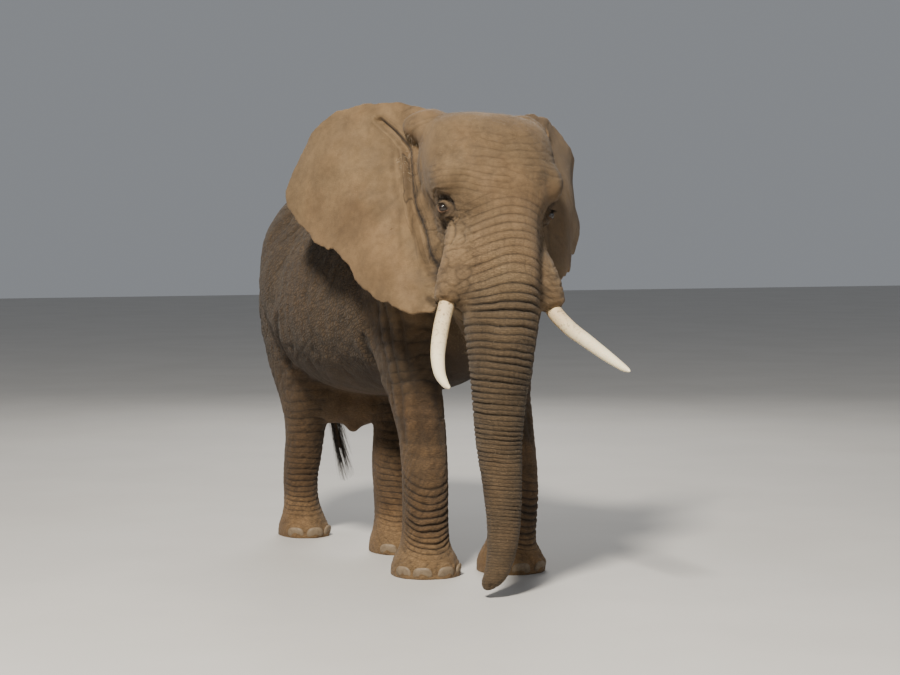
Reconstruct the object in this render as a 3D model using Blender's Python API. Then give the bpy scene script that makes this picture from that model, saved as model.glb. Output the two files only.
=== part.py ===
"""A bull African savanna elephant, standing, as a still life-size model.

Metres, +Z up. The elephant faces -Y, its own left side is +X, and its soles rest on Z = 0.
The flesh is shaped as clay: lofts and ellipsoids are melted into one body, which is then parted
by thin cuts into torso, neck, head, trunk lengths and legs. Ears, tail, tusks and eyes are
solids of their own, each sunk a little into a socket that is cut to fit it.
"""

import math

import bmesh
import bpy
from mathutils import Euler, Matrix, Vector

# ---- how finely the clay is worked ----
RING_SIDES = 28
CUTTER_SIDES = 14
TUSK_SIDES = 12
TAIL_SIDES = 10
EAR_SIDES = 12
CLAY_VOXEL = 0.030
CLAY_SMOOTHING = 5
BODY_TRIANGLES = 3500
PARTING = 0.0005
SOCKET = 0.0004
SOLE_DEPTH = 0.06

# ---- torso rings: (y, top, height of the widest point, belly, half width, crest power, belly power) ----
TORSO = (
    (-1.34, 2.60, 2.15, 1.76, 0.24, 2.0, 2.0),
    (-1.20, 2.84, 2.12, 1.54, 0.39, 1.9, 2.0),
    (-0.98, 3.00, 2.05, 1.38, 0.54, 1.7, 2.1),
    (-0.62, 3.05, 1.95, 1.27, 0.66, 1.6, 2.2),
    (-0.20, 2.89, 1.88, 1.19, 0.75, 1.7, 2.2),
    (0.25, 2.80, 1.85, 1.14, 0.80, 1.8, 2.2),
    (0.65, 2.84, 1.90, 1.16, 0.80, 1.75, 2.2),
    (0.95, 2.87, 2.00, 1.28, 0.75, 1.6, 2.1),
    (1.22, 2.74, 2.05, 1.48, 0.60, 1.6, 2.0),
    (1.42, 2.52, 2.05, 1.70, 0.37, 1.8, 2.0),
    (1.50, 2.36, 2.08, 1.88, 0.18, 2.0, 2.0),
)

# ---- neck rings, same numbers as the torso's ----
NECK = (
    (-1.50, 2.95, 2.45, 2.02, 0.30, 2.0, 2.0),
    (-1.25, 2.99, 2.40, 1.86, 0.40, 2.0, 2.0),
    (-1.00, 3.00, 2.30, 1.66, 0.47, 2.0, 2.0),
    (-0.70, 2.96, 2.20, 1.55, 0.50, 2.0, 2.0),
)

# ---- the head is shaped straight, then turned to its right and leant to its left ----
HEAD_PIVOT = Vector((0.0, -0.95, 2.45))
HEAD_TURN = math.radians(-9.0)
HEAD_LEAN = math.radians(3.5)
HEAD_SHIFT = Vector((-0.02, 0.0, 0.0))

# Skull rings from crown to chin: (z, front y, back y, half width, y of the widest point)
SKULL = (
    (3.155, -1.52, -1.32, 0.15, -1.42),
    (3.13, -1.62, -1.20, 0.295, -1.42),
    (3.065, -1.76, -1.10, 0.39, -1.42),
    (2.95, -1.87, -1.02, 0.435, -1.44),
    (2.78, -1.96, -0.98, 0.46, -1.47),
    (2.62, -2.01, -0.98, 0.43, -1.52),
    (2.48, -2.03, -1.00, 0.37, -1.53),
    (2.25, -2.02, -1.10, 0.31, -1.52),
    (2.02, -1.98, -1.18, 0.28, -1.52),
    (1.86, -1.92, -1.30, 0.25, -1.56),
    (1.76, -1.86, -1.45, 0.15, -1.64),
)

# Trunk along its middle line: (x, y, z, half width, half depth)
TRUNK = (
    (0.0, -1.62, 2.78, 0.24, 0.24),
    (0.0, -1.76, 2.52, 0.26, 0.27),
    (0.0, -1.86, 2.24, 0.27, 0.27),
    (0.0, -1.93, 1.98, 0.26, 0.26),
    (0.0, -1.97, 1.74, 0.238, 0.240),
    (0.008, -1.99, 1.50, 0.208, 0.218),
    (0.012, -1.99, 1.26, 0.176, 0.190),
    (0.028, -1.99, 1.00, 0.153, 0.167),
    (0.060, -2.00, 0.75, 0.132, 0.145),
    (0.080, -2.02, 0.52, 0.115, 0.126),
    (0.075, -2.04, 0.33, 0.101, 0.108),
    (0.045, -2.06, 0.18, 0.084, 0.088),
    (-0.010, -2.08, 0.09, 0.063, 0.066),
)

# Lower jaw and lip: (x, y, z, half width)
JAW = (
    (0.0, -1.30, 2.00, 0.20),
    (0.0, -1.46, 1.84, 0.165),
    (0.0, -1.57, 1.70, 0.120),
    (0.0, -1.63, 1.58, 0.078),
    (0.0, -1.65, 1.50, 0.045),
)

# Sheath that carries the left tusk: (x, y, z, radius)
SHEATH = (
    (0.19, -1.66, 2.48, 0.13),
    (0.235, -1.79, 2.24, 0.120),
    (0.305, -1.89, 2.04, 0.120),
    (0.36, -1.94, 1.88, 0.100),
)

LEFT_TUSK = (
    (0.310, -1.80, 2.12, 0.046),
    (0.355, -1.92, 1.90, 0.050),
    (0.415, -2.09, 1.775, 0.0485),
    (0.480, -2.28, 1.690, 0.044),
    (0.543, -2.47, 1.61, 0.036),
    (0.590, -2.63, 1.55, 0.024),
    (0.609, -2.705, 1.530, 0.009),
)
RIGHT_TUSK = (
    (-0.310, -1.80, 2.12, 0.046),
    (-0.357, -1.92, 1.90, 0.051),
    (-0.428, -2.05, 1.73, 0.051),
    (-0.492, -2.21, 1.57, 0.046),
    (-0.528, -2.38, 1.455, 0.037),
    (-0.538, -2.53, 1.395, 0.024),
    (-0.535, -2.615, 1.375, 0.009),
)

EYE = Vector((0.362, -1.755, 2.495))
EYE_RADIUS = 0.036

# ---- fore legs: thickness at each height (z, half width, half length), and each leg's line (x, y) ----
FORE_THICKNESS = (
    (2.30, 0.20, 0.36),
    (2.00, 0.22, 0.37),
    (1.70, 0.21, 0.32),
    (1.42, 0.20, 0.26),
    (1.20, 0.184, 0.213),
    (0.95, 0.162, 0.190),
    (0.72, 0.156, 0.182),
    (0.50, 0.156, 0.176),
    (0.33, 0.157, 0.176),
    (0.20, 0.172, 0.190),
    (0.09, 0.230, 0.240),
    (-SOLE_DEPTH, 0.236, 0.246),
)
FORE_LINES = {
    "right_fore_leg": (
        (-0.40, -0.84), (-0.40, -0.83), (-0.38, -0.82), (-0.34, -0.82), (-0.30, -0.85), (-0.275, -0.90),
        (-0.28, -0.95), (-0.285, -0.97), (-0.29, -0.98), (-0.30, -1.00), (-0.305, -1.01), (-0.305, -1.01),
    ),
    "left_fore_leg": (
        (0.40, -0.88), (0.40, -0.88), (0.38, -0.89), (0.365, -0.90), (0.35, -0.94), (0.365, -1.00),
        (0.375, -1.04), (0.37, -1.07), (0.35, -1.08), (0.32, -1.10), (0.31, -1.11), (0.31, -1.11),
    ),
}

# ---- hind legs, told the same way ----
HIND_THICKNESS = (
    (2.30, 0.20, 0.38),
    (2.00, 0.22, 0.42),
    (1.70, 0.23, 0.42),
    (1.40, 0.205, 0.40),
    (1.12, 0.178, 0.295),
    (0.86, 0.150, 0.195),
    (0.62, 0.140, 0.176),
    (0.42, 0.130, 0.164),
    (0.27, 0.132, 0.166),
    (0.16, 0.156, 0.190),
    (0.07, 0.188, 0.230),
    (-SOLE_DEPTH, 0.190, 0.232),
)
HIND_LINES = {
    "right_hind_leg": (
        (-0.42, 0.98), (-0.46, 0.96), (-0.46, 0.95), (-0.42, 0.97), (-0.37, 0.98), (-0.335, 1.04),
        (-0.32, 1.13), (-0.32, 1.18), (-0.32, 1.16), (-0.32, 1.13), (-0.32, 1.12), (-0.32, 1.12),
    ),
    "left_hind_leg": (
        (0.42, 0.92), (0.43, 0.82), (0.38, 0.70), (0.30, 0.58), (0.18, 0.44), (0.085, 0.32),
        (0.02, 0.23), (-0.01, 0.16), (-0.03, 0.10), (-0.04, 0.05), (-0.04, 0.03), (-0.04, 0.03),
    ),
}
LINES = {**FORE_LINES, **HIND_LINES}
FORE_TOES = (-54, -11, 32, 68)
HIND_TOES = (-46, 0, 46)

# ---- ear blade from root to rim: (distance out, top, bottom, half thickness) ----
EAR = (
    (-0.12, 3.17, 2.20, 0.042),
    (0.00, 3.205, 1.86, 0.034),
    (0.10, 3.21, 1.80, 0.027),
    (0.24, 3.205, 1.805, 0.020),
    (0.42, 3.185, 1.87, 0.017),
    (0.56, 3.147, 1.96, 0.015),
    (0.70, 3.075, 2.125, 0.014),
    (0.84, 2.975, 2.18, 0.013),
    (0.98, 2.835, 2.25, 0.013),
    (1.10, 2.69, 2.365, 0.012),
    (1.18, 2.58, 2.47, 0.012),
)
# How far the left ear's lobe and outer end are lifted, for it is held a little higher
LOBE_LIFT = 0.25
TIP_LIFT = 0.17
EAR_ROOT_TOP = Vector((0.41, -1.10, 3.05))
EAR_ROOT_BOTTOM = Vector((0.35, -1.60, 2.02))
EAR_SWEEP = {"left": (33.0, 72.0), "right": (34.0, 72.0)}

# ---- tail: (x, y, z, radius) ----
TAIL = (
    (0.0, 1.38, 2.30, 0.075),
    (0.0, 1.50, 2.17, 0.066),
    (0.01, 1.56, 1.92, 0.052),
    (0.03, 1.57, 1.58, 0.041),
    (0.06, 1.55, 1.25, 0.032),
    (0.09, 1.52, 0.98, 0.026),
    (0.115, 1.50, 0.82, 0.036),
    (0.165, 1.48, 0.62, 0.040),
    (0.22, 1.47, 0.40, 0.012),
)

# ---- cuts between the parts of the flesh ----
SLEEVE = 0.065
# Domes that close the sleeves over shoulder and thigh: (outwards, back, z, half width, half length)
FORE_DOME = (
    (0.60, 0.00, 1.80, 0.03, 0.05),
    (0.57, 0.00, 1.76, 0.12, 0.17),
    (0.48, 0.00, 1.62, 0.26, 0.29),
    (0.42, 0.00, 1.42, 0.30, 0.32),
)
HIND_DOME = (
    (0.74, 0.06, 1.98, 0.03, 0.05),
    (0.70, 0.06, 1.93, 0.16, 0.20),
    (0.58, 0.05, 1.76, 0.34, 0.36),
    (0.50, 0.02, 1.50, 0.39, 0.42),
)
# Leaning planes: (point on the plane, lean in degrees); what lies in front or below is parted off
NECK_CUT = ((0.0, -1.04, 2.25), (-104.0, 0.0, 0.0))
HEAD_CUT = ((0.0, -1.20, 2.45), (-106.0, 0.0, -6.0))
HALF_SPACE = 9.0
TRUNK_CUTS = (("trunk_upper", 1.45), ("trunk_middle", 0.95), ("trunk_tip", 0.50))

# ---- finishes: (colour, roughness) ----
HIDE = ((0.262, 0.190, 0.118), 0.85)
IVORY = ((0.76, 0.66, 0.46), 0.40)
DARK_EYE = ((0.030, 0.018, 0.010), 0.12)


# ---- clay tools ----
def through(rows, steps):
    """Rows of numbers joined by a Catmull-Rom spline, a number of steps to each span."""
    rows = [Vector(row) for row in rows]
    ends = [2 * rows[0] - rows[1], *rows, 2 * rows[-1] - rows[-2]]
    found = []
    for a, b, c, d in zip(ends, ends[1:], ends[2:], ends[3:]):
        for step in range(steps):
            t = step / steps
            line = 2 * b + (c - a) * t
            line += (2 * a - 5 * b + 4 * c - d) * t ** 2
            line += (3 * b - a - 3 * c + d) * t ** 3
            found.append(line / 2)
    found.append(rows[-1])
    return found


def around(power, low_power=None, sides=RING_SIDES):
    """Corners of a superellipse of unit size: (across, up), anticlockwise."""
    corners = []
    for i in range(sides):
        c, s = math.cos(2 * math.pi * i / sides), math.sin(2 * math.pi * i / sides)
        p = 2 / (low_power if low_power and s < 0 else power)
        corners.append((math.copysign(abs(c) ** p, c), math.copysign(abs(s) ** p, s)))
    return corners


def loft(clay, rings):
    """Adds a closed solid whose skin runs through the rings in turn."""
    verts = bmesh.ops.create_circle(clay, segments=len(rings[0]), radius=1.0)["verts"]
    for vert, point in zip(verts, rings[0]):
        vert.co = point
    faces = [clay.faces.new(verts)]
    made = list(verts)
    for ring in rings[1:]:
        edges = [clay.edges.get(pair) for pair in zip(verts, verts[1:] + verts[:1])]
        grown = bmesh.ops.extrude_edge_only(clay, edges=edges)["geom"]
        new = {item for item in grown if isinstance(item, bmesh.types.BMVert)}
        faces += [item for item in grown if isinstance(item, bmesh.types.BMFace)]
        verts = [next(e.other_vert(v) for e in v.link_edges if e.other_vert(v) in new) for v in verts]
        for vert, point in zip(verts, ring):
            vert.co = point
        made += verts
    faces.append(clay.faces.new(verts))
    bmesh.ops.recalc_face_normals(clay, faces=faces)
    return made


def barrel(clay, rows):
    """Upright rings set along Y, each with its own crest, belly and widest height."""
    rings = []
    for y, top, wide, low, half, crest, belly in through(rows, 3):
        ring = []
        for u, v in around(crest, belly):
            ring.append(Vector((half * u, y, wide + v * ((top - wide) if v > 0 else (wide - low)))))
        rings.append(ring)
    return loft(clay, rings)


def column(clay, rows, steps=3, sides=RING_SIDES):
    """Level rings set one under another: (x, y, z, half width, half length)."""
    rings = []
    for x, y, z, half, length in through(rows, steps):
        corners = around(2.15, sides=sides)
        rings.append([Vector((x + half * u, y + length * v, z)) for u, v in corners])
    return loft(clay, rings)


def pipe(clay, rows, steps=3, sides=RING_SIDES):
    """Rings square to a bent line: (x, y, z, half width), and half depth where it differs."""
    rows = through(rows, steps)
    rings = []
    for i, row in enumerate(rows):
        before, after = rows[max(i - 1, 0)], rows[min(i + 1, len(rows) - 1)]
        along = (Vector(after[:3]) - Vector(before[:3])).normalized()
        across = (Vector((1, 0, 0)) - along * along.x).normalized()
        deep = along.cross(across)
        half, depth = row[3], row[-1]
        middle = Vector(row[:3])
        rings.append([middle + across * half * u + deep * depth * v for u, v in around(2.1, sides=sides)])
    return loft(clay, rings)


def ball(clay, centre, radii, lean=(0, 0, 0)):
    """An ellipsoid, leant by degrees about X, Y and Z."""
    place = Matrix.LocRotScale(Vector(centre), Euler([math.radians(d) for d in lean]), Vector(radii))
    return bmesh.ops.create_uvsphere(clay, u_segments=20, v_segments=14, radius=1.0, matrix=place)["verts"]


def other_side(rows):
    """The same rows on the right side of the body."""
    return [(-row[0], *row[1:]) for row in rows]


def slope(value, low, high):
    """Rises smoothly from 0 at low to 1 at high."""
    t = min(max((value - low) / (high - low), 0.0), 1.0)
    return t * t * (3 - 2 * t)


def head_place():
    """Where the straight-shaped head goes on the neck."""
    turn = Matrix.Rotation(HEAD_TURN, 4, "Z") @ Matrix.Rotation(HEAD_LEAN, 4, "Y")
    return Matrix.Translation(HEAD_PIVOT + HEAD_SHIFT) @ turn @ Matrix.Translation(-HEAD_PIVOT)


def solid(name, shape, *args):
    """An object made of the clay that shape() puts down."""
    clay = bmesh.new()
    shape(clay, *args)
    bmesh.ops.triangulate(clay, faces=clay.faces)
    mesh = bpy.data.meshes.new(name)
    clay.to_mesh(mesh)
    clay.free()
    made = bpy.data.objects.new(name, mesh)
    bpy.context.scene.collection.objects.link(made)
    return made


def settle(made):
    """Keeps the shape its modifiers give an object, and drops the modifiers."""
    graph = bpy.context.evaluated_depsgraph_get()
    mesh = bpy.data.meshes.new_from_object(made.evaluated_get(graph))
    made.modifiers.clear()
    made.data = mesh
    return made


def melt(made, voxel, smoothing, triangles):
    """Melts overlapping clay into one skin with about this many triangles."""
    remesh = made.modifiers.new("Melt", "REMESH")
    remesh.mode = "VOXEL"
    remesh.voxel_size = voxel
    smooth = made.modifiers.new("Smooth", "SMOOTH")
    smooth.factor = 0.5
    smooth.iterations = smoothing
    settle(made)
    count = sum(len(face.vertices) - 2 for face in made.data.polygons)
    thin = made.modifiers.new("Thin", "DECIMATE")
    thin.ratio = triangles / count
    return settle(made)


def carve(made, tool, operation="DIFFERENCE"):
    """Cuts an object with a tool, by Boolean."""
    cut = made.modifiers.new("Cut", "BOOLEAN")
    cut.operation = operation
    cut.object = tool
    return settle(made)


def drop(*tools):
    """Clears away cutting tools."""
    for tool in tools:
        bpy.data.objects.remove(tool)


def twin(name, made):
    """A second object of the same shape."""
    other = bpy.data.objects.new(name, made.data.copy())
    bpy.context.scene.collection.objects.link(other)
    return other


def grown(made, by):
    """A twin of a solid, grown outwards, to cut the room it needs."""
    tool = twin("tool", made)
    grow = tool.modifiers.new("Grow", "DISPLACE")
    grow.mid_level = 0.0
    grow.strength = by
    return settle(tool)


def part_off(name, rest, shape, *args):
    """Parts the flesh inside a cutting shape from the rest, with a thin cut between them."""
    piece = twin(name, rest)
    inner = solid("inner", shape, *args)
    outer = grown(inner, PARTING)
    carve(piece, inner, "INTERSECT")
    carve(rest, outer)
    drop(inner, outer)
    return piece


# ---- flesh ----
def skull(clay):
    """The head without trunk, jaw and tusk sheaths."""
    rings = []
    for z, front, back, half, wide in through(SKULL, 3):
        ring = []
        for u, v in around(2.0, 2.3):
            ring.append(Vector((half * u, wide + v * ((back - wide) if v > 0 else (wide - front)), z)))
        rings.append(ring)
    return loft(clay, rings)


def head(clay):
    """Skull, trunk, jaw and tusk sheaths, put in place on the neck."""
    made = skull(clay) + pipe(clay, TRUNK) + pipe(clay, JAW)
    made += ball(clay, (-0.024, -2.085, 0.085), (0.052, 0.058, 0.050))
    for side in (1, -1):
        made += pipe(clay, SHEATH if side > 0 else other_side(SHEATH))
        made += ball(clay, (side * 0.330, -1.71, 2.70), (0.128, 0.195, 0.150), (18, 0, 0))
        made += ball(clay, (side * 0.225, -1.42, 2.16), (0.13, 0.22, 0.34))
        made += ball(clay, (side * 0.35, -1.22, 3.06), (0.17, 0.16, 0.11), (0, side * 12, 0))
        made += ball(clay, (side * 0.27, -1.36, 3.00), (0.18, 0.22, 0.12), (0, side * 12, 0))
    bmesh.ops.transform(clay, matrix=head_place(), verts=made)


def leg_rows(name):
    """The level rings of a leg."""
    line = LINES[name]
    thickness = FORE_THICKNESS if name in FORE_LINES else HIND_THICKNESS
    return [(x, y, *row) for (x, y), row in zip(line, thickness)]


def leg(clay, name):
    """A leg with its toes."""
    rows = leg_rows(name)
    column(clay, rows)
    x, y, _, half, length = rows[-2]
    side = math.copysign(1, LINES[name][0][0])
    for turn in FORE_TOES if name in FORE_LINES else HIND_TOES:
        a = math.radians(turn) * side
        spot = (x + (half - 0.012) * math.sin(a), y - (length - 0.012) * math.cos(a), 0.045)
        ball(clay, spot, (0.066, 0.034, 0.058), (0, 0, math.degrees(a)))


def flesh(clay):
    """The whole body but for ears, tail, tusks and eyes."""
    barrel(clay, TORSO)
    barrel(clay, NECK)
    for name in LINES:
        leg(clay, name)
    for side in (1, -1):
        ball(clay, (side * 0.40, -0.74, 2.25), (0.25, 0.36, 0.62), (0, side * -7, 0))
        ball(clay, (side * 0.40, 0.88, 2.12), (0.33, 0.44, 0.56), (0, side * -8, 0))
    ball(clay, (-0.20, 0.82, 1.11), (0.19, 0.27, 0.22))
    ball(clay, (-0.02, 0.68, 1.10), (0.18, 0.27, 0.22))
    ball(clay, (-0.09, 0.70, 0.985), (0.060, 0.15, 0.165), (-8, 0, 0))
    head(clay)


def ear(clay, name):
    """An ear blade on its sloping root, swept back from the head."""
    side = 1 if name == "left" else -1
    root_sweep, rim_sweep = EAR_SWEEP[name]
    rings = []
    for out, top, bottom, thick in through(EAR, 2):
        share = max(0.0, out) / EAR[-1][0]
        if side > 0:
            tip = TIP_LIFT * slope(out, 0.75, 1.10)
            top += tip
            bottom += 0.6 * tip + LOBE_LIFT * slope(out, -0.1, 0.1) * (0.35 + 0.65 * slope(out, 0.80, 0.35))
        sweep = math.radians(root_sweep + (rim_sweep - root_sweep) * share / 2)
        along = Vector((math.cos(sweep), math.sin(sweep), 0))
        facing = Vector((math.sin(sweep), -math.cos(sweep), 0))
        ring = []
        for u, v in around(2.6, sides=EAR_SIDES):
            z = (top + bottom) / 2 + (top - bottom) / 2 * v
            height = (z - EAR_ROOT_BOTTOM.z) / (EAR_ROOT_TOP.z - EAR_ROOT_BOTTOM.z)
            root = EAR_ROOT_BOTTOM.lerp(EAR_ROOT_TOP, height)
            point = Vector((root.x, root.y, z)) + along * out + facing * thick * u
            point.x *= side
            ring.append(point)
        rings.append(ring)
    made = loft(clay, rings)
    bmesh.ops.transform(clay, matrix=head_place(), verts=made)


def tusk(clay, rows):
    """A tusk, put in place on the head."""
    made = pipe(clay, rows, 2, TUSK_SIDES)
    bmesh.ops.transform(clay, matrix=head_place(), verts=made)


def eye(clay, side):
    """An eyeball in place on the head."""
    centre = head_place() @ Vector((side * EYE.x, EYE.y, EYE.z))
    place = Matrix.LocRotScale(centre, None, Vector([EYE_RADIUS] * 3))
    bmesh.ops.create_uvsphere(clay, u_segments=12, v_segments=8, radius=1.0, matrix=place)


def tail(clay):
    """The tail with its tassel."""
    pipe(clay, TAIL, 2, TAIL_SIDES)


# ---- cutting shapes ----
def leg_cutter(clay, name):
    """A sleeve round a leg, closed by a dome over the shoulder or the thigh."""
    side = math.copysign(1, LINES[name][0][0])
    domes = FORE_DOME if name in FORE_LINES else HIND_DOME
    y = LINES[name][3][1]
    rows = [(side * out, y + back, z, half, length) for out, back, z, half, length in domes]
    for x, y, z, half, length in leg_rows(name)[4:]:
        rows.append((x, y, z, half + SLEEVE, length + SLEEVE))
    column(clay, rows, 1, CUTTER_SIDES)


def half_space(clay, middle, lean, moved=False):
    """Everything under a leaning plane through a point."""
    place = Matrix.Translation(Vector(middle)) @ Euler([math.radians(d) for d in lean]).to_matrix().to_4x4()
    if moved:
        place = head_place() @ place
    place = place @ Matrix.Translation((0, 0, -HALF_SPACE / 2))
    bmesh.ops.create_cube(clay, size=HALF_SPACE, matrix=place)


# ---- fitting and finishing ----
def fitted(name, rests, shape, *args):
    """A solid of its own, with a close socket cut for it in each of the rests."""
    piece = solid(name, shape, *args)
    tool = grown(piece, SOCKET)
    for rest in rests:
        carve(rest, tool)
    drop(tool)
    return piece


def finish(name, colour, roughness):
    """A plain Principled material."""
    made = bpy.data.materials.new(name)
    made.use_nodes = True
    shader = made.node_tree.nodes["Principled BSDF"]
    shader.inputs["Base Color"].default_value = (*colour, 1.0)
    shader.inputs["Roughness"].default_value = roughness
    shader.inputs["Metallic"].default_value = 0.0
    return made


def dress(made, material):
    """Gives an object its one material and smooth shading."""
    made.data.materials.clear()
    made.data.materials.append(material)
    for face in made.data.polygons:
        face.use_smooth = True


def build_flesh():
    """The melted body, parted into torso, legs, neck, head and trunk lengths."""
    torso = melt(solid("torso", flesh), CLAY_VOXEL, CLAY_SMOOTHING, BODY_TRIANGLES)
    ground = solid("ground", half_space, (0, 0, 0), (0, 0, 0))
    carve(torso, ground)
    drop(ground)
    parts = {"torso": torso}
    for name in LINES:
        parts[name] = part_off(name, torso, leg_cutter, name)
    parts["neck"] = part_off("neck", torso, half_space, *NECK_CUT)
    parts["head"] = part_off("head", parts["neck"], half_space, *HEAD_CUT)
    above = parts["head"]
    for name, height in TRUNK_CUTS:
        above = parts[name] = part_off(name, above, half_space, (0, 0, height), (0, 0, 0), True)
    return parts


def build_fittings(parts):
    """Ears, tail, tusks and eyes, each let into the flesh round its root."""
    head_part, torso = parts["head"], parts["torso"]
    for side in ("left", "right"):
        parts[f"{side}_ear"] = fitted(f"{side}_ear", (head_part, parts["neck"], torso), ear, side)
        parts[f"{side}_eye"] = fitted(f"{side}_eye", (head_part,), eye, 1 if side == "left" else -1)
    parts["left_tusk"] = fitted("left_tusk", (head_part,), tusk, LEFT_TUSK)
    parts["right_tusk"] = fitted("right_tusk", (head_part,), tusk, RIGHT_TUSK)
    parts["tail"] = fitted("tail", (torso,), tail)


def centre(parts):
    """Brings the middle of the whole model over the origin, soles on the floor."""
    corners = [vert.co for made in parts.values() for vert in made.data.vertices]
    middle = Vector([(min(c[i] for c in corners) + max(c[i] for c in corners)) / 2 for i in (0, 1)] + [0.0])
    for made in parts.values():
        made.data.transform(Matrix.Translation(-middle))


for old in list(bpy.data.objects):
    bpy.data.objects.remove(old)
elephant = build_flesh()
build_fittings(elephant)
centre(elephant)
skin, ivory, dark_eye = finish("hide", *HIDE), finish("ivory", *IVORY), finish("dark_eye", *DARK_EYE)
for part_name, part in elephant.items():
    dress(part, {"tusk": ivory, "eye": dark_eye}.get(part_name.split("_")[-1], skin))
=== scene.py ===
"""A standing bull savanna elephant, dressed for show as a still, life-size model.

Metres, +Z up; the elephant faces -Y and its own left side is +X. Its forms are told about the middle of the
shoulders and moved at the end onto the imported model. One seamless hide lies over the flesh; ivory, eyes,
nails and hair are pieces of their own.
"""

import logging
import math
from contextlib import contextmanager
from dataclasses import dataclass
from enum import Enum
from itertools import product
from typing import Callable, Iterator, Sequence

import bmesh
import bpy
import numpy as np
from mathutils import Euler, Matrix, Vector


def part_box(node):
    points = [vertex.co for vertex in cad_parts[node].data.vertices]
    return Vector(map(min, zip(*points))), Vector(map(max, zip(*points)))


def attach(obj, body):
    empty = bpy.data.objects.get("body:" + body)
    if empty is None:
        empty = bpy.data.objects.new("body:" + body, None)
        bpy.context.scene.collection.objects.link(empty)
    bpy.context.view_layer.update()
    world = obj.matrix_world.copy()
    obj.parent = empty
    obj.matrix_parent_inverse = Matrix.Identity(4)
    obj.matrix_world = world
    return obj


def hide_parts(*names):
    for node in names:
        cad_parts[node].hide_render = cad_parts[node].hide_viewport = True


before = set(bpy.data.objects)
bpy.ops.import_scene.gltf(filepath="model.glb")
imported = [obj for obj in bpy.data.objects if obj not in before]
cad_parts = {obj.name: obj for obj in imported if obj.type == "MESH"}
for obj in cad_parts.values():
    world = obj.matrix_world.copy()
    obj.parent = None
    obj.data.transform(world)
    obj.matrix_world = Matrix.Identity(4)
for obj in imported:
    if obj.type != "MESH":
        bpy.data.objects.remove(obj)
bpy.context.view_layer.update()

Array = np.ndarray
Row = tuple[float, ...]
Rows = Sequence[Row]
Path = Sequence[tuple[float, float]]
Object = bpy.types.Object
Material = bpy.types.Material
Socket = bpy.types.NodeSocket
Verts = list[bmesh.types.BMVert]
Lay = Callable[[Row, Array], None]
Feeds = dict[str | int, object]
log = logging.getLogger("elephant")


class Side(Enum):
    """The elephant's own sides; the value is the sign of X."""

    LEFT = 1
    RIGHT = -1

    @property
    def word(self) -> str:
        """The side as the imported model's names spell it."""
        return self.name.lower()


class Pair(Enum):
    """Which pair a leg belongs to."""

    FORE = "fore"
    HIND = "hind"


class Finish(Enum):
    """The record's slot names, handed along with each piece."""

    HIDE = "hide"
    IVORY = "ivory"
    EYE = "eye"


# ---- numbers in space ----
def through(rows: Rows, steps: int) -> list[Vector]:
    """Joins rows of numbers with a Catmull-Rom spline.

    Args:
        rows: the numbers at each station.
        steps: how many stretches each span is cut into.

    Returns:
        The rows along the spline, ends included.
    """
    known = [Vector(row) for row in rows]
    ends = [2 * known[0] - known[1], *known, 2 * known[-1] - known[-2]]
    found = []
    for a, b, c, d in zip(ends, ends[1:], ends[2:], ends[3:]):
        for step in range(steps):
            t = step / steps
            line = 2 * b + (c - a) * t
            line += (2 * a - 5 * b + 4 * c - d) * t ** 2
            line += (3 * b - a - 3 * c + d) * t ** 3
            found.append(line / 2)
    found.append(known[-1])
    return found


def ramp(values: Array, low: float, high: float) -> Array:
    """An eased step: 0 where values are at low, 1 at high, either way round."""
    t = np.clip((values - low) / (high - low), 0.0, 1.0)
    return t * t * (3 - 2 * t)


def bell(values: Array, width: float, middle: float = 0.0) -> Array:
    """A soft bell, 1 at the middle and near 0 at twice the width from it."""
    return np.exp(-((values - middle) / width) ** 2)


def span(points: Array, spot: Row | Array, radii: Row = (1.0, 1.0, 1.0)) -> Array:
    """How far points lie from a spot, where the radii are each counted as 1."""
    return np.linalg.norm((points - np.array(spot)) / np.array(radii), axis=1)


def hump(values: Array, middle: float, reach: float) -> Array:
    """A soft bell, 1 at the middle and near 0 beyond the reach."""
    return np.exp(-((values - middle) / reach * 1.5) ** 2)


def arch(turns: Array, round_off: Array | float = 0.8) -> Array:
    """Rounded ridges between narrow valleys: 0 at each whole number, 1 half-way."""
    part = turns - np.floor(turns)
    return (4 * part * (1 - part)) ** round_off


def across(flat: Array, path: Path) -> Array:
    """Distance of flat points from a bent line, above 0 to its left as it runs and below 0 to its right.

    Args:
        flat: points, two numbers each.
        path: the line's corners, joined smoothly.

    Returns:
        One distance for each point.
    """
    corners = [np.array(row) for row in through(path, 5)]
    best, hand = np.full(len(flat), 9.0), np.ones(len(flat))
    for a, b in zip(corners, corners[1:]):
        run, reach = b - a, flat - a
        t = np.clip((reach @ run) / (run @ run), 0.0, 1.0)
        gap = np.hypot(*(reach - t[:, None] * run).T)
        left = np.where(run[0] * reach[:, 1] - run[1] * reach[:, 0] < 0, -1.0, 1.0)
        hand, best = np.where(gap < best, left, hand), np.minimum(best, gap)
    return best * hand


def away(flat: Array, path: Path) -> Array:
    """Distance of flat points from a bent line."""
    return np.abs(across(flat, path))


def line_crease(distance: Array, width: float) -> Array:
    """A crease's section: a valley with a low lip on either side."""
    return np.exp(-((distance - 2.4 * width) / (1.3 * width)) ** 2) * 0.3 - np.exp(-(distance / width) ** 2)


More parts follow.
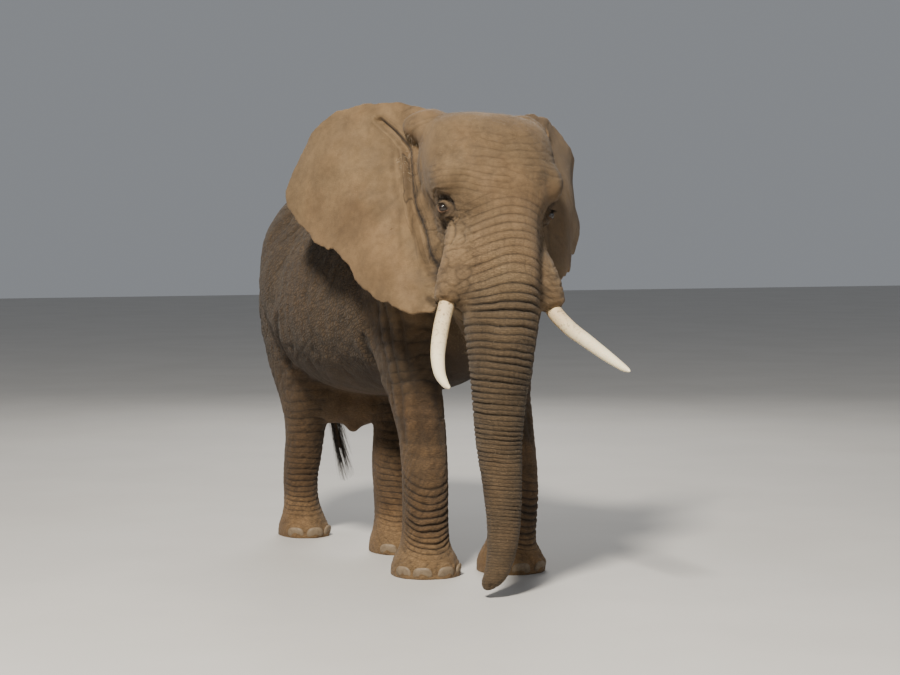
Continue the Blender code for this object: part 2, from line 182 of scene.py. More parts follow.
class Grain:
    """Smooth random relief in space, the same on every run."""

    def __init__(self, seed: int) -> None:
        """Draws the slopes that the relief is made of."""
        chance = np.random.default_rng(seed)
        self.order = chance.permutation(256)
        slopes = chance.normal(size=(256, 3))
        self.slopes = slopes / np.linalg.norm(slopes, axis=1)[:, None]

    def at(self, points: Array, scale: Sequence[float] | float = 1.0) -> Array:
        """The relief, about -1 to 1, at points.

        Args:
            points: places in space.
            scale: how many bumps to a metre, the same or its own along each axis.

        Returns:
            One value for each point.
        """
        spots = points * np.asarray(scale, float)
        cell = np.floor(spots).astype(np.int64)
        part = spots - cell
        ease = part ** 3 * (part * (part * 6 - 15) + 10)
        total = np.zeros(len(spots))
        for corner in product((0, 1), repeat=3):
            look = np.zeros(len(spots), np.int64)
            for axis in range(3):
                look = self.order[(look + cell[:, axis] + corner[axis]) & 255]
            slope = self.slopes[look]
            weight = np.ones(len(spots))
            reach = np.zeros(len(spots))
            for axis in range(3):
                weight *= ease[:, axis] if corner[axis] else 1 - ease[:, axis]
                reach += slope[:, axis] * (part[:, axis] - corner[axis])
            total += weight * reach
        return total * 1.7


GRAINS = [Grain(seed) for seed in range(6)]


def net(points: Array, scale: Sequence[float] | float, width: float, grain: int = 0) -> Array:
    """A net of wandering creases: -1 in a crease, 0 between.

    Args:
        points: places in space.
        scale: how many bumps to a metre, the same or its own along each axis.
        width: how wide the creases are, as a share of a bump.
        grain: which of the drawn reliefs is read.

    Returns:
        One value for each point.
    """
    return -np.exp(-(GRAINS[grain].at(points, scale) / width) ** 2)


# ---- meshes ----
def place_object(name: str, data: bpy.types.ID) -> Object:
    """Puts data in the scene as an object of that name."""
    made = bpy.data.objects.new(name, data)
    bpy.context.scene.collection.objects.link(made)
    return made


@contextmanager
def opened(mesh: bpy.types.Mesh) -> Iterator[bmesh.types.BMesh]:
    """Lends a mesh's shape to be worked on, and puts it back."""
    shape = bmesh.new()
    shape.from_mesh(mesh)
    yield shape
    shape.to_mesh(mesh)
    shape.free()


def store(made: Object, name: str, kind: str, values: Array) -> None:
    """Keeps values on the points of a mesh under a name."""
    layer = made.data.attributes.new(name, kind, "POINT")
    field = {"FLOAT_COLOR": "color", "FLOAT_VECTOR": "vector"}.get(kind, "value")
    layer.data.foreach_set(field, values.astype(np.float32).ravel())


# ---- clay ----
class Clay:
    """Closed forms put down one over another, before they are melted into one skin."""

    def __init__(self, sides: int = 48) -> None:
        """Starts with no clay.

        Args:
            sides: how many corners a ring has.
        """
        self.sides = sides
        self.body = bmesh.new()

    def corners(self, power: float, low_power: float | None = None) -> list[tuple[float, float]]:
        """Corners of a superellipse of unit size, anticlockwise.

        Args:
            power: 2 for an ellipse, more for a squarer ring.
            low_power: the lower half's own power, where it differs.

        Returns:
            The corners, as (across, up).
        """
        found = []
        for i in range(self.sides):
            c, s = math.cos(2 * math.pi * i / self.sides), math.sin(2 * math.pi * i / self.sides)
            p = 2 / (low_power if low_power and s < 0 else power)
            found.append((math.copysign(abs(c) ** p, c), math.copysign(abs(s) ** p, s)))
        return found

    def loft(self, rings: list[list[Vector]]) -> Verts:
        """Adds a closed solid whose skin runs through rings.

        Args:
            rings: the rings in turn, each with the same number of points.

        Returns:
            The new vertices.
        """
        clay = self.body
        verts = bmesh.ops.create_circle(clay, segments=len(rings[0]), radius=1.0)["verts"]
        for vert, point in zip(verts, rings[0]):
            vert.co = point
        faces = [clay.faces.new(verts)]
        made = list(verts)
        for ring in rings[1:]:
            edges = [clay.edges.get(pair) for pair in zip(verts, verts[1:] + verts[:1])]
            grown = bmesh.ops.extrude_edge_only(clay, edges=edges)["geom"]
            new = {item for item in grown if isinstance(item, bmesh.types.BMVert)}
            faces += [item for item in grown if isinstance(item, bmesh.types.BMFace)]
            verts = [next(e.other_vert(v) for e in v.link_edges if e.other_vert(v) in new) for v in verts]
            for vert, point in zip(verts, ring):
                vert.co = point
            made += verts
        faces.append(clay.faces.new(verts))
        bmesh.ops.recalc_face_normals(clay, faces=faces)
        return made

    def barrel(self, rows: Rows) -> Verts:
        """Adds upright rings set along Y.

        Args:
            rows: (y, top, widest height, belly, half width, crest power, belly power).

        Returns:
            The new vertices.
        """
        rings = []
        for y, top, wide, low, half, crest, belly in through(rows, 5):
            ring = []
            for u, v in self.corners(crest, belly):
                ring.append(Vector((half * u, y, wide + v * ((top - wide) if v > 0 else (wide - low)))))
            rings.append(ring)
        return self.loft(rings)

    def column(self, rows: Rows) -> Verts:
        """Adds level rings set one under another.

        Args:
            rows: (x, y, z, half width, half length).

        Returns:
            The new vertices.
        """
        rings = []
        for x, y, z, half, length in through(rows, 5):
            rings.append([Vector((x + half * u, y + length * v, z)) for u, v in self.corners(2.15)])
        return self.loft(rings)

    def pipe(self, rows: Rows, steps: int = 5) -> Verts:
        """Adds rings square to a bent line.

        Args:
            rows: (x, y, z, half width), and half depth where it differs.
            steps: how many rings to a span.

        Returns:
            The new vertices.
        """
        run = through(rows, steps)
        rings = []
        for i, row in enumerate(run):
            before, after = run[max(i - 1, 0)], run[min(i + 1, len(run) - 1)]
            along = (Vector(after[:3]) - Vector(before[:3])).normalized()
            across = (Vector((1, 0, 0)) - along * along.x).normalized()
            deep = along.cross(across)
            middle, half, depth = Vector(row[:3]), row[3], row[-1]
            rings.append([middle + across * half * u + deep * depth * v for u, v in self.corners(2.1)])
        return self.loft(rings)

    def ball(self, centre: Row, radii: Row, lean: Row = (0.0, 0.0, 0.0)) -> Verts:
        """Adds an ellipsoid.

        Args:
            centre: its middle.
            radii: its three half sizes.
            lean: degrees about X, Y and Z.

        Returns:
            The new vertices.
        """
        turn = Euler([math.radians(d) for d in lean])
        place = Matrix.LocRotScale(Vector(centre), turn, Vector(radii))
        return bmesh.ops.create_uvsphere(
            self.body, u_segments=32, v_segments=20, radius=1.0, matrix=place)["verts"]

    def move(self, matrix: Matrix, verts: Verts) -> None:
        """Moves some of the clay."""
        bmesh.ops.transform(self.body, matrix=matrix, verts=verts)

    def lift(self, name: str) -> Object:
        """Turns the clay into an object of that name."""
        mesh = bpy.data.meshes.new(name)
        self.body.to_mesh(mesh)
        self.body.free()
        return place_object(name, mesh)


def settle(made: Object) -> Object:
    """Keeps the shape an object's modifiers give it, and drops the modifiers."""
    graph = bpy.context.evaluated_depsgraph_get()
    mesh = bpy.data.meshes.new_from_object(made.evaluated_get(graph))
    made.modifiers.clear()
    made.data = mesh
    return made


def melt(made: Object, voxel: float) -> Object:
    """Melts overlapping forms into one closed skin of even squares."""
    remesh = made.modifiers.new("Melt", "REMESH")
    remesh.mode = "VOXEL"
    remesh.voxel_size = voxel
    return settle(made)


def mirrored(rows: Rows) -> Rows:
    """The same rows on the other side of the body."""
    return tuple((-row[0], *row[1:]) for row in rows)


@dataclass(frozen=True)
class HeadPose:
    """How the head, shaped straight, sits on the neck: turned to its right and leant to its left."""

    pivot: Row = (0.0, -0.95, 2.45)
    turn: float = -9.0
    lean: float = 3.5
    shift: Row = (-0.02, 0.0, 0.0)

    def matrix(self) -> Matrix:
        """The move from the straight head to the posed head."""
        turn = Matrix.Rotation(math.radians(self.turn), 4, "Z")
        lean = Matrix.Rotation(math.radians(self.lean), 4, "Y")
        pivot = Vector(self.pivot)
        return Matrix.Translation(pivot + Vector(self.shift)) @ turn @ lean @ Matrix.Translation(-pivot)

    def straighten(self, points: Array) -> Array:
        """Points as they lie about the straight head."""
        back = np.array(self.matrix().inverted())
        return points @ back[:3, :3].T + back[:3, 3]


POSE = HeadPose()


class Survey:
    """Points of the skin with what every part asks of them."""

    def __init__(self, points: Array, normals: Array) -> None:
        """Keeps the points.

        Args:
            points: places on the skin.
            normals: the way the skin faces at each.
        """
        self.points = points
        self.normals = normals
        self.head = POSE.straighten(points)


class Relief:
    """Heights added to the skin, out of it where positive."""

    def __init__(self, count: int) -> None:
        """Starts level.

        Args:
            count: how many points the skin has.
        """
        self.form = np.zeros(count)
        self.crease = np.zeros(count)
        self.turns = np.zeros(count)
        self.ringed = np.zeros(count)
        self.width = np.full(count, 0.4)

    def ring(self, near: Array, turns: Array, share: Array, width: Array) -> None:
        """Notes which fold each point lies on, where folds ring a limb, for the painted shade in their
        valleys.

        Args:
            near: the points' numbers.
            turns: each point's fold, a whole number in a valley.
            share: how much folds show there.
            width: how wide the painted shade of each valley is.
        """
        own = share > self.ringed[near]
        self.turns[near[own]] = turns[own]
        self.ringed[near[own]] = share[own]
        self.width[near[own]] = width[own]

    def total(self) -> Array:
        """Broad forms and creases together."""
        return self.form + self.crease


class Shaft:
    """A part with a middle line that hangs or stands: its own coordinates about that line."""

    def __init__(self, rows: Rows) -> None:
        """Reads the line.

        Args:
            rows: (x, y, z, half width) and half depth where it differs, from the top down.
        """
        run = np.array([list(row[:4]) + [row[-1]] for row in reversed(through(rows, 8))])
        self.z = run[:, 2]
        self.x, self.y, self.half, self.depth = run[:, 0], run[:, 1], run[:, 3], run[:, 4]
        self.slope = np.gradient(self.y, self.z)

    def locate(self, points: Array) -> tuple[Array, Array, Array]:
        """Finds points about the line.

        Args:
            points: places in space.

        Returns:
            Distance from the line with 1 on the skin, angle with 0 to the front, and level.
        """
        z = points[:, 2]
        across = points[:, 0] - np.interp(z, self.z, self.x)
        deep = points[:, 1] - np.interp(z, self.z, self.y)
        ratio = np.hypot(across / np.interp(z, self.z, self.half), deep / np.interp(z, self.z, self.depth))
        return ratio, np.arctan2(across, -deep), z + deep * np.interp(z, self.z, self.slope)


class Rings:
    """Folds that run round a limb, closer together at one end than at the other."""

    def __init__(self, rows: Rows) -> None:
        """Counts the folds.

        Args:
            rows: (level, spacing, depth), from the top down.
        """
        self.levels = np.array([row[0] for row in reversed(rows)])
        self.gaps = np.array([row[1] for row in reversed(rows)])
        self.depths = np.array([row[2] for row in reversed(rows)])
        self.fine = np.linspace(self.levels[0], self.levels[-1], 600)
        gaps = np.interp(self.fine, self.levels, self.gaps)
        self.count = np.cumsum(1 / gaps) * (self.fine[1] - self.fine[0])

    def turns(self, level: Array) -> Array:
        """How many folds lie below a level."""
        return np.interp(level, self.fine, self.count)

    def valleys(self, level: Array, warp: Array, sway: Array, seed: int) -> Array:
        """Heights of the folds.

        Args:
            level: where each point lies along the limb.
            warp: how far each point's fold wanders, in folds.
            sway: from 0 to 1, how deep folds are here.
            seed: draws how deep each fold is.

        Returns:
            Heights, 0 on the ridges and below 0 in the valleys.
        """
        turns = self.turns(level) + warp
        nearest = np.round(turns).astype(int) % 512
        own = np.random.default_rng(seed).uniform(0.35, 1.35, 512)[nearest]
        round_off = np.clip(0.045 / np.interp(level, self.levels, self.gaps), 0.30, 0.80)
        return -np.interp(level, self.levels, self.depths) * own * sway * (1 - arch(turns, round_off))

    def width(self, level: Array) -> Array:
        """How wide the painted shade in a valley is, as the sine of its share of a turn."""
        return np.minimum(np.sin(math.pi * 0.010 / np.interp(level, self.levels, self.gaps)), 0.45)


# ---- parts of the body ----
@dataclass(frozen=True)
class Trunk:
    """The trunk: its middle line, and the folds that ring it."""

    line: Rows = (
        (0.0, -1.62, 2.78, 0.24, 0.24),
        (0.0, -1.76, 2.52, 0.26, 0.27),
        (0.0, -1.86, 2.24, 0.27, 0.27),
        (0.0, -1.93, 1.98, 0.26, 0.26),
        (0.0, -1.97, 1.74, 0.238, 0.240),
        (0.008, -1.99, 1.50, 0.208, 0.218),
        (0.012, -1.99, 1.26, 0.176, 0.190),
        (0.028, -1.99, 1.00, 0.153, 0.167),
        (0.060, -2.00, 0.75, 0.132, 0.145),
        (0.080, -2.02, 0.52, 0.115, 0.126),
        (0.075, -2.04, 0.33, 0.101, 0.108),
        (0.045, -2.06, 0.18, 0.084, 0.088),
        (-0.010, -2.08, 0.09, 0.063, 0.066),
    )
    folds: Rows = (
        (3.00, 0.066, 0.0000),
        (2.72, 0.060, 0.0010),
        (2.58, 0.054, 0.0030),
        (2.40, 0.050, 0.0042),
        (2.20, 0.056, 0.0060),
        (2.05, 0.066, 0.0110),
        (1.92, 0.066, 0.0170),
        (1.82, 0.056, 0.0170),
        (1.60, 0.044, 0.0150),
        (1.40, 0.037, 0.0130),
        (1.00, 0.030, 0.0105),
        (0.70, 0.025, 0.0080),
        (0.40, 0.021, 0.0060),
        (0.05, 0.016, 0.0040),
    )

    def shape(self, clay: Clay) -> Verts:
        """Puts the trunk and its tip down."""
        return clay.pipe(self.line) + clay.ball((-0.024, -2.085, 0.085), (0.052, 0.058, 0.050))

    def lies(self, head: Array) -> tuple[Array, Array, Array]:
        """Where points lie about the trunk: how much they belong to it, their angle and fold count."""
        ratio, angle, level = Shaft(self.line).locate(head)
        belongs = ramp(ratio, 1.45, 1.20) * ramp(head[:, 2], 3.00, 2.60)
        face = ramp(np.abs(angle), math.radians(95), math.radians(48))
        belongs *= np.maximum(face, ramp(head[:, 2], 1.92, 1.66))
        bow = ramp(head[:, 2], 1.70, 2.05)
        bowed = head[:, 2] + 1.35 * (head[:, 0] - 0.03) ** 2
        return belongs, angle, (level + 0.035 * head[:, 0]) * (1 - bow) + bowed * bow

    def press(self, survey: Survey, relief: Relief) -> None:
        """Presses the ring folds in."""
        near = np.nonzero(survey.head[:, 1] < -1.45)[0]
        head = survey.head[near]
        belongs, angle, level = self.lies(head)
        rings = Rings(self.folds)
        calm = ramp(head[:, 2], 1.75, 2.1)
        warp = 0.30 * GRAINS[0].at(head, (4.5, 3.0, 4.0)) + 0.10 * GRAINS[1].at(head, (13.0, 9.0, 9.0))
        warp *= 1 - 0.55 * calm
        sway = np.clip(0.95 + 0.5 * GRAINS[2].at(head, (3.0, 3.0, 9.0)), 0.3, 1.4)
        relief.crease[near] += rings.valleys(level, warp, sway, 5) * belongs
        shown = belongs * ramp(head[:, 2], 2.75, 2.45) * (0.42 + 0.58 * ramp(head[:, 2], 2.15, 1.95))
        shown *= np.clip(sway, 0.4, 1.0)
        relief.ring(near, rings.turns(level) + warp, shown, rings.width(level))
        low = ramp(head[:, 2], 1.85, 1.7) * belongs
        sway = ramp(GRAINS[4].at(head, (5.0, 5.0, 9.0)), 0.0, 0.45)
        warp = 0.5 + 0.35 * GRAINS[3].at(head, (5.0, 4.0, 4.0))
        relief.crease[near] += 0.45 * rings.valleys(level, warp, sway, 6) * low
        upright = np.abs(np.sin(angle * 17 + 2.2 * GRAINS[1].at(head, 6.0)))
        relief.crease[near] -= 0.0016 * (1 - upright) ** 3 * belongs * ramp(head[:, 2], 0.5, 1.2)
        for side in (-1, 1):
            reach = span(head, (-0.040 + side * 0.024, -2.150, 0.075), (0.016, 0.03, 0.020))
            relief.form[near] -= 0.020 * np.exp(-reach ** 2)


@dataclass(frozen=True)
class Head:
    """Skull, cheeks, jaw and the sheaths the tusks grow from."""

    trunk: Trunk = Trunk()
    skull: Rows = (
        (3.155, -1.52, -1.32, 0.15, -1.42),
        (3.13, -1.62, -1.20, 0.295, -1.42),
        (3.065, -1.76, -1.10, 0.39, -1.42),
        (2.95, -1.87, -1.02, 0.435, -1.44),
        (2.78, -1.96, -0.98, 0.46, -1.47),
        (2.62, -2.01, -0.98, 0.43, -1.52),
        (2.48, -2.03, -1.00, 0.37, -1.53),
        (2.25, -2.02, -1.10, 0.31, -1.52),
        (2.02, -1.98, -1.18, 0.28, -1.52),
        (1.86, -1.92, -1.30, 0.25, -1.56),
        (1.76, -1.86, -1.45, 0.15, -1.64),
    )
    jaw: Rows = (
        (0.0, -1.30, 2.00, 0.20),
        (0.0, -1.46, 1.84, 0.165),
        (0.0, -1.57, 1.70, 0.120),
        (0.0, -1.63, 1.58, 0.078),
        (0.0, -1.65, 1.50, 0.045),
    )
    arcs: Rows = (
        (3.15, 0.060, 0.0), (3.0, 0.055, 0.0036), (2.7, 0.050, 0.0040), (2.5, 0.045, 0.0020),
        (2.4, 0.045, 0.0),
    )
    # hollows at the temple, before the ear, under the brow, beside the trunk, over the forehead, at the
    # crown (a swelling), under the eye and in the cheek: place, radii, depth
    dents: Sequence[tuple[Row, Row, float]] = (
        ((0.42, -1.42, 2.74), (0.20, 0.13, 0.15), 0.026),
        ((0.40, -1.47, 2.46), (0.16, 0.07, 0.17), 0.020),
        ((0.36, -1.90, 2.40), (0.12, 0.10, 0.14), 0.012),
        ((0.20, -1.96, 2.16), (0.05, 0.10, 0.22), 0.014),
        ((0.0, -1.95, 2.92), (0.14, 0.20, 0.10), 0.010),
        ((0.22, -1.80, 3.02), (0.16, 0.20, 0.12), -0.008),
        ((0.36, -1.66, 2.385), (0.10, 0.07, 0.05), 0.016),
        ((0.34, -1.62, 2.13), (0.10, 0.06, 0.14), 0.034),
    )
    # tear line, gland, mouth and lower lip: depth, width, how far out each starts and is whole, path
    lines: Sequence[tuple[float, float, float, float, Rows]] = (
        (0.010, 0.009, 0.20, 0.28, ((-1.775, 2.425), (-1.81, 2.37), (-1.84, 2.31), (-1.845, 2.25))),
        (0.004, 0.012, 0.20, 0.28, ((-1.58, 2.53), (-1.585, 2.46), (-1.61, 2.40))),
        (0.020, 0.018, 0.06, 0.12,
         ((-1.80, 1.80), (-1.70, 1.86), (-1.58, 1.93), (-1.47, 2.03), (-1.42, 2.12))),
        (0.008, 0.012, 0.04, 0.10, ((-1.73, 1.66), (-1.62, 1.74), (-1.50, 1.86), (-1.40, 1.98))),
    )
    sheath: Rows = (
        (0.19, -1.66, 2.48, 0.13),
        (0.235, -1.79, 2.24, 0.120),
        (0.305, -1.89, 2.04, 0.120),
        (0.36, -1.94, 1.88, 0.100),
    )

    def shape(self, clay: Clay) -> None:
        """Puts the head down in its pose."""
        made = self.trunk.shape(clay) + clay.pipe(self.jaw) + self.shape_skull(clay)
        for side in Side:
            made += clay.pipe(self.sheath if side is Side.LEFT else mirrored(self.sheath))
            made += clay.ball((side.value * 0.330, -1.71, 2.70), (0.128, 0.195, 0.150), (18, 0, 0))
            made += clay.ball((side.value * 0.225, -1.42, 2.16), (0.13, 0.22, 0.34))
            made += clay.ball((side.value * 0.35, -1.22, 3.06), (0.17, 0.16, 0.11), (0, side.value * 12, 0))
            made += clay.ball((side.value * 0.27, -1.36, 3.00), (0.18, 0.22, 0.12), (0, side.value * 12, 0))
        clay.move(POSE.matrix(), made)

    @staticmethod
    def lip(z: Array) -> Array:
        """Where a tusk's middle line lies at a height, by its sheath."""
        share = (1.90 - z) / 0.15
        return np.c_[0.356 + 0.064 * share, -1.92 - 0.15 * share, z]

    def shape_skull(self, clay: Clay) -> Verts:
        """Puts the skull's level rings down and returns its vertices."""
        rings = []
        for z, front, back, half, wide in through(self.skull, 5):
            ring = []
            for u, v in clay.corners(2.0, 2.3):
                ring.append(Vector((half * u, wide + v * ((back - wide) if v > 0 else (wide - front)), z)))
            rings.append(ring)
        return clay.loft(rings)

    @staticmethod
    def gap(head: Array) -> tuple[Array, Array]:
        """The gap that parts face and ear.

        Args:
            head: points about the straight head.

        Returns:
            Distance behind the gap (below 0 before it), and how much points lie at its breadth.
        """
        path = ((-0.94, 3.09), (-1.07, 2.99), (-1.16, 2.90), (-1.20, 2.83), (-1.26, 2.69),
                (-1.35, 2.49), (-1.46, 2.30), (-1.53, 2.18), (-1.60, 2.07), (-1.66, 1.97))
        breadth = np.interp(head[:, 1], (-1.56, -1.46, -1.35, -1.20, -1.07, -0.94),
                            (0.34, 0.39, 0.44, 0.455, 0.52, 0.61))
        beside = ramp(np.abs(np.abs(head[:, 0]) - breadth), 0.14, 0.09) * ramp(head[:, 2], 1.94, 2.02)
        return across(head[:, 1:3], path), beside

    def press_gap(self, survey: Survey, relief: Relief) -> None:
        """Presses the deep gap between face and ear, the ear's rolled lip and the lines along it."""
        near = np.nonzero((survey.head[:, 1] < -0.85) & (survey.head[:, 2] > 1.9))[0]
        head = survey.head[near]
        behind, beside = self.gap(head)
        beside *= ramp(survey.normals[near, 1], 0.45, 0.10)
        beside *= ramp(head[:, 2], 2.04, 2.20)
        low = ramp(head[:, 2], 2.60, 2.40)
        form = -0.024 * bell(behind, 0.013) - 0.030 * low * bell(behind, 0.032)
        form -= 0.016 * ramp(head[:, 2], 2.80, 2.90) * bell(behind, 0.022)
        form += 0.011 * bell(behind, 0.013, 0.030)
        relief.form[near] += form * beside
        share = beside * bell(behind, 0.030)
        relief.ring(near, behind / 0.017, share, np.full(len(near), 0.5))

    def press(self, survey: Survey, relief: Relief) -> None:
        """Presses temples, brows, cheeks, lips and the forehead's lines."""
        near = np.nonzero((survey.head[:, 1] < -0.95) & (survey.head[:, 2] > 1.4))[0]
        head = survey.head[near]
        out = np.abs(head[:, 0])
        side = head[:, 1:3]
        form, crease = np.zeros(len(near)), np.zeros(len(near))

        for spot, radii, depth in self.dents:
            form -= depth * np.exp(-span(np.c_[out, side], spot, radii) ** 2)
        for depth, width, low, high, path in self.lines:
            crease += depth * line_crease(away(side, path), width) * ramp(out, low, high)

        cheek = ramp(head[:, 2], 2.62, 2.45) * ramp(head[:, 2], 1.75, 1.95) * ramp(out, 0.16, 0.26)
        cheek *= ramp(head[:, 1], -1.35, -1.5)
        crease += 0.0050 * net(head, (9.0, 7.0, 15.0), 0.16, 2) * cheek
        crease += 0.0028 * net(head, (22.0, 20.0, 26.0), 0.22, 3) * cheek

        brow = ramp(head[:, 2], 2.50, 2.66) * ramp(head[:, 1], -1.60, -1.75)
        crease += 0.0022 * net(head, (6.0, 6.0, 17.0), 0.13, 1) * brow
        crease += 0.0014 * net(head, (24.0, 24.0, 24.0), 0.20, 4) * brow
        arcs = Rings(self.arcs)
        level = head[:, 2] + 0.5 * out ** 2 - 0.25 * out
        warp = 0.9 * GRAINS[0].at(head, (3.0, 3.0, 3.0)) + 0.2 * GRAINS[3].at(head, (9.0, 9.0, 6.0))
        patchy = ramp(GRAINS[1].at(head, (4.0, 3.0, 6.0)), -0.30, 0.30) * ramp(head[:, 1], -1.45, -1.70)
        crease += arcs.valleys(level, warp, patchy, 8)
        shown = 0.22 * patchy * ramp(head[:, 2], 2.45, 2.65) * ramp(head[:, 2], 3.05, 2.95)
        relief.ring(near, arcs.turns(level) + warp, shown, arcs.width(level))
        rim = span(np.c_[out, side], self.lip(head[:, 2]))
        form += 0.010 * bell(rim, 0.012, 0.070) * ramp(head[:, 2], 1.78, 1.84)
        form += 0.0040 * GRAINS[2].at(head, 7.0) * ramp(head[:, 2], 1.8, 2.2)
        relief.form[near] += form
        relief.crease[near] += crease


@dataclass(frozen=True)
class Lids:
    """An eye's place, and the lids and folds round it."""

    centre: Row = (0.362, -1.755, 2.495)
    gaze: Row = (0.83, -0.555, -0.02)
    radius: float = 0.036
    lid: float = 0.0055
    width: float = 0.0425
    upper: float = 0.0325
    lower: float = 0.0265
    slant: float = 14.0
    # height, distance from the rim, width, and the heights over which each fades in
    wrinkles: Rows = (
        (0.0030, 0.014, 0.008, 0.0, 0.02), (-0.0024, 0.0125, 0.0017, -0.01, 0.01),
        (-0.0018, 0.0195, 0.0017, -0.01, 0.01), (-0.0026, 0.0095, 0.0017, 0.002, -0.008),
        (-0.0024, 0.0175, 0.0019, 0.002, -0.008),
    )
    stain: Path = ((-1.58, 2.53), (-1.60, 2.44), (-1.63, 2.34), (-1.68, 2.22))

    def axes(self, side: Side) -> Array:
        """The eye's own axes in the straight head: to the front, up, and outwards."""
        look = Vector((side.value * self.gaze[0], self.gaze[1], self.gaze[2])).normalized()
        front = (Vector((0, -1, 0)) - look * look.dot(Vector((0, -1, 0)))).normalized()
        up = look.cross(front) * side.value * -1
        if up.z < 0:
            up = -up
        turn = Matrix.Rotation(math.radians(self.slant) * side.value, 3, look)
        return np.array([turn @ front, turn @ up, look])

    def middle(self, side: Side) -> Array:
        """The eyeball's middle in the straight head."""
        return np.array((side.value * self.centre[0], self.centre[1], self.centre[2]))

    def reach(self, head: Array) -> Array:
        """How far points about the straight head lie from the nearer eye's middle."""
        return np.minimum(*(span(head, self.middle(side)) for side in Side))

    def part_lids(self, survey: Survey) -> tuple[Array, Array]:
        """Sets the skin over each eyeball, opened between the lids.

        Args:
            survey: the skin before its creases.

        Returns:
            The skin's points, and how far each is held from further pressing.
        """
        points, held = survey.points.copy(), np.zeros(len(survey.points))
        place = np.array(POSE.matrix())[:3, :3]
        for side in Side:
            near = np.nonzero(span(survey.head, self.middle(side)) < 0.13)[0]
            axes = self.axes(side)
            front, up, out = ((survey.head[near] - self.middle(side)) @ axes.T).T
            front, up, out = self.set_lid(front, up, out)
            moved = np.c_[front, up, out] @ axes + self.middle(side)
            points[near] += (moved - survey.head[near]) @ place.T
            held[near] = ramp(np.hypot(front, up), 0.080, 0.060)
        return points, held

    def set_lid(self, front: Array, up: Array, out: Array) -> tuple[Array, Array, Array]:
        """Moves points near an eye onto its lids.

        Args:
            front: distance to the front of the eye's middle.
            up: distance above it.
            out: distance outwards from it.

        Returns:
            The same three, moved.
        """
        gap, steep_front, steep_up = self.gap(front, up)
        snap = (np.abs(gap) < 0.0015) & (np.hypot(front, up) < 0.060)
        front = np.where(snap, front - gap * steep_front, front)
        up = np.where(snap, up - gap * steep_up, up)
        gap = np.where(snap, 0.0, gap)
        reach = np.hypot(front, up)
        edge = 0.0375
        outer = self.radius + self.lid
        ball = np.sqrt(outer ** 2 - np.minimum(reach, edge) ** 2)
        socket = 0.004 - 0.014 * ramp(up, -0.02, 0.03)
        lid = ball + (socket - ball) * ramp(reach, edge - 0.004, 0.060)
        lid += 0.0030 * bell(gap, 0.0030, 0.003)
        for height, middle, width, low, high in self.wrinkles:
            lid += height * bell(gap, width, middle) * ramp(up, low, high)
        lid -= ramp(gap, 0.0, -0.0022) * 0.022
        return front, up, out + (lid - out) * ramp(reach, 0.105, 0.060)

    def gap(self, front: Array, up: Array) -> tuple[Array, Array, Array]:
        """How far points lie outside the lids' opening, and the way that leads away from it."""
        tall = np.where(up > 0, self.upper, self.lower)
        edge = np.abs(up) / tall + (front / self.width) ** 2 - 1
        steep_front, steep_up = 2 * front / self.width ** 2, np.sign(up) / tall
        steep = np.hypot(steep_front, steep_up) + 1e-9
        return edge / steep, steep_front / steep, steep_up / steep

    def press(self, survey: Survey, relief: Relief) -> None:
        """Presses the folds that ring the eye, and the bags under it."""
        for side in Side:
            near = np.nonzero(span(survey.head, self.middle(side)) < 0.24)[0]
            front, up, _ = ((survey.head[near] - self.middle(side)) @ self.axes(side).T).T
            wander = 0.005 * GRAINS[1].at(survey.head[near], 22.0)
            reach = np.hypot(front / 1.22, up) + wander
            over, under = ramp(up, -0.01, 0.03), ramp(up, 0.01, -0.03)
            behind = ramp(front, 0.02, -0.04)
            height = np.zeros(len(near))
            for deep, radius, width, shown in (
                (0.0105, 0.066, 0.0065, np.maximum(over, 0.25)),
                (0.0060, 0.080, 0.0050, np.maximum(under, 0.4 * over)),
                (0.0060, 0.094, 0.0055, np.maximum(under, 0.5 * behind)),
                (0.0050, 0.114, 0.0060, np.maximum(under, behind) * 0.9),
                (0.0040, 0.138, 0.0065, under * behind),
            ):
                height += deep * line_crease(np.abs(reach - radius), width) * shown
            angle = np.arctan2(up, front)
            rays = np.abs(np.sin(angle * 9 + 1.8 * GRAINS[3].at(survey.head[near], 14.0)))
            spread = ramp(reach, 0.06, 0.085) * ramp(reach, 0.19, 0.11)
            height -= 0.0030 * (1 - rays) ** 2 * spread * (0.35 + 0.65 * under)
            relief.crease[near] += height


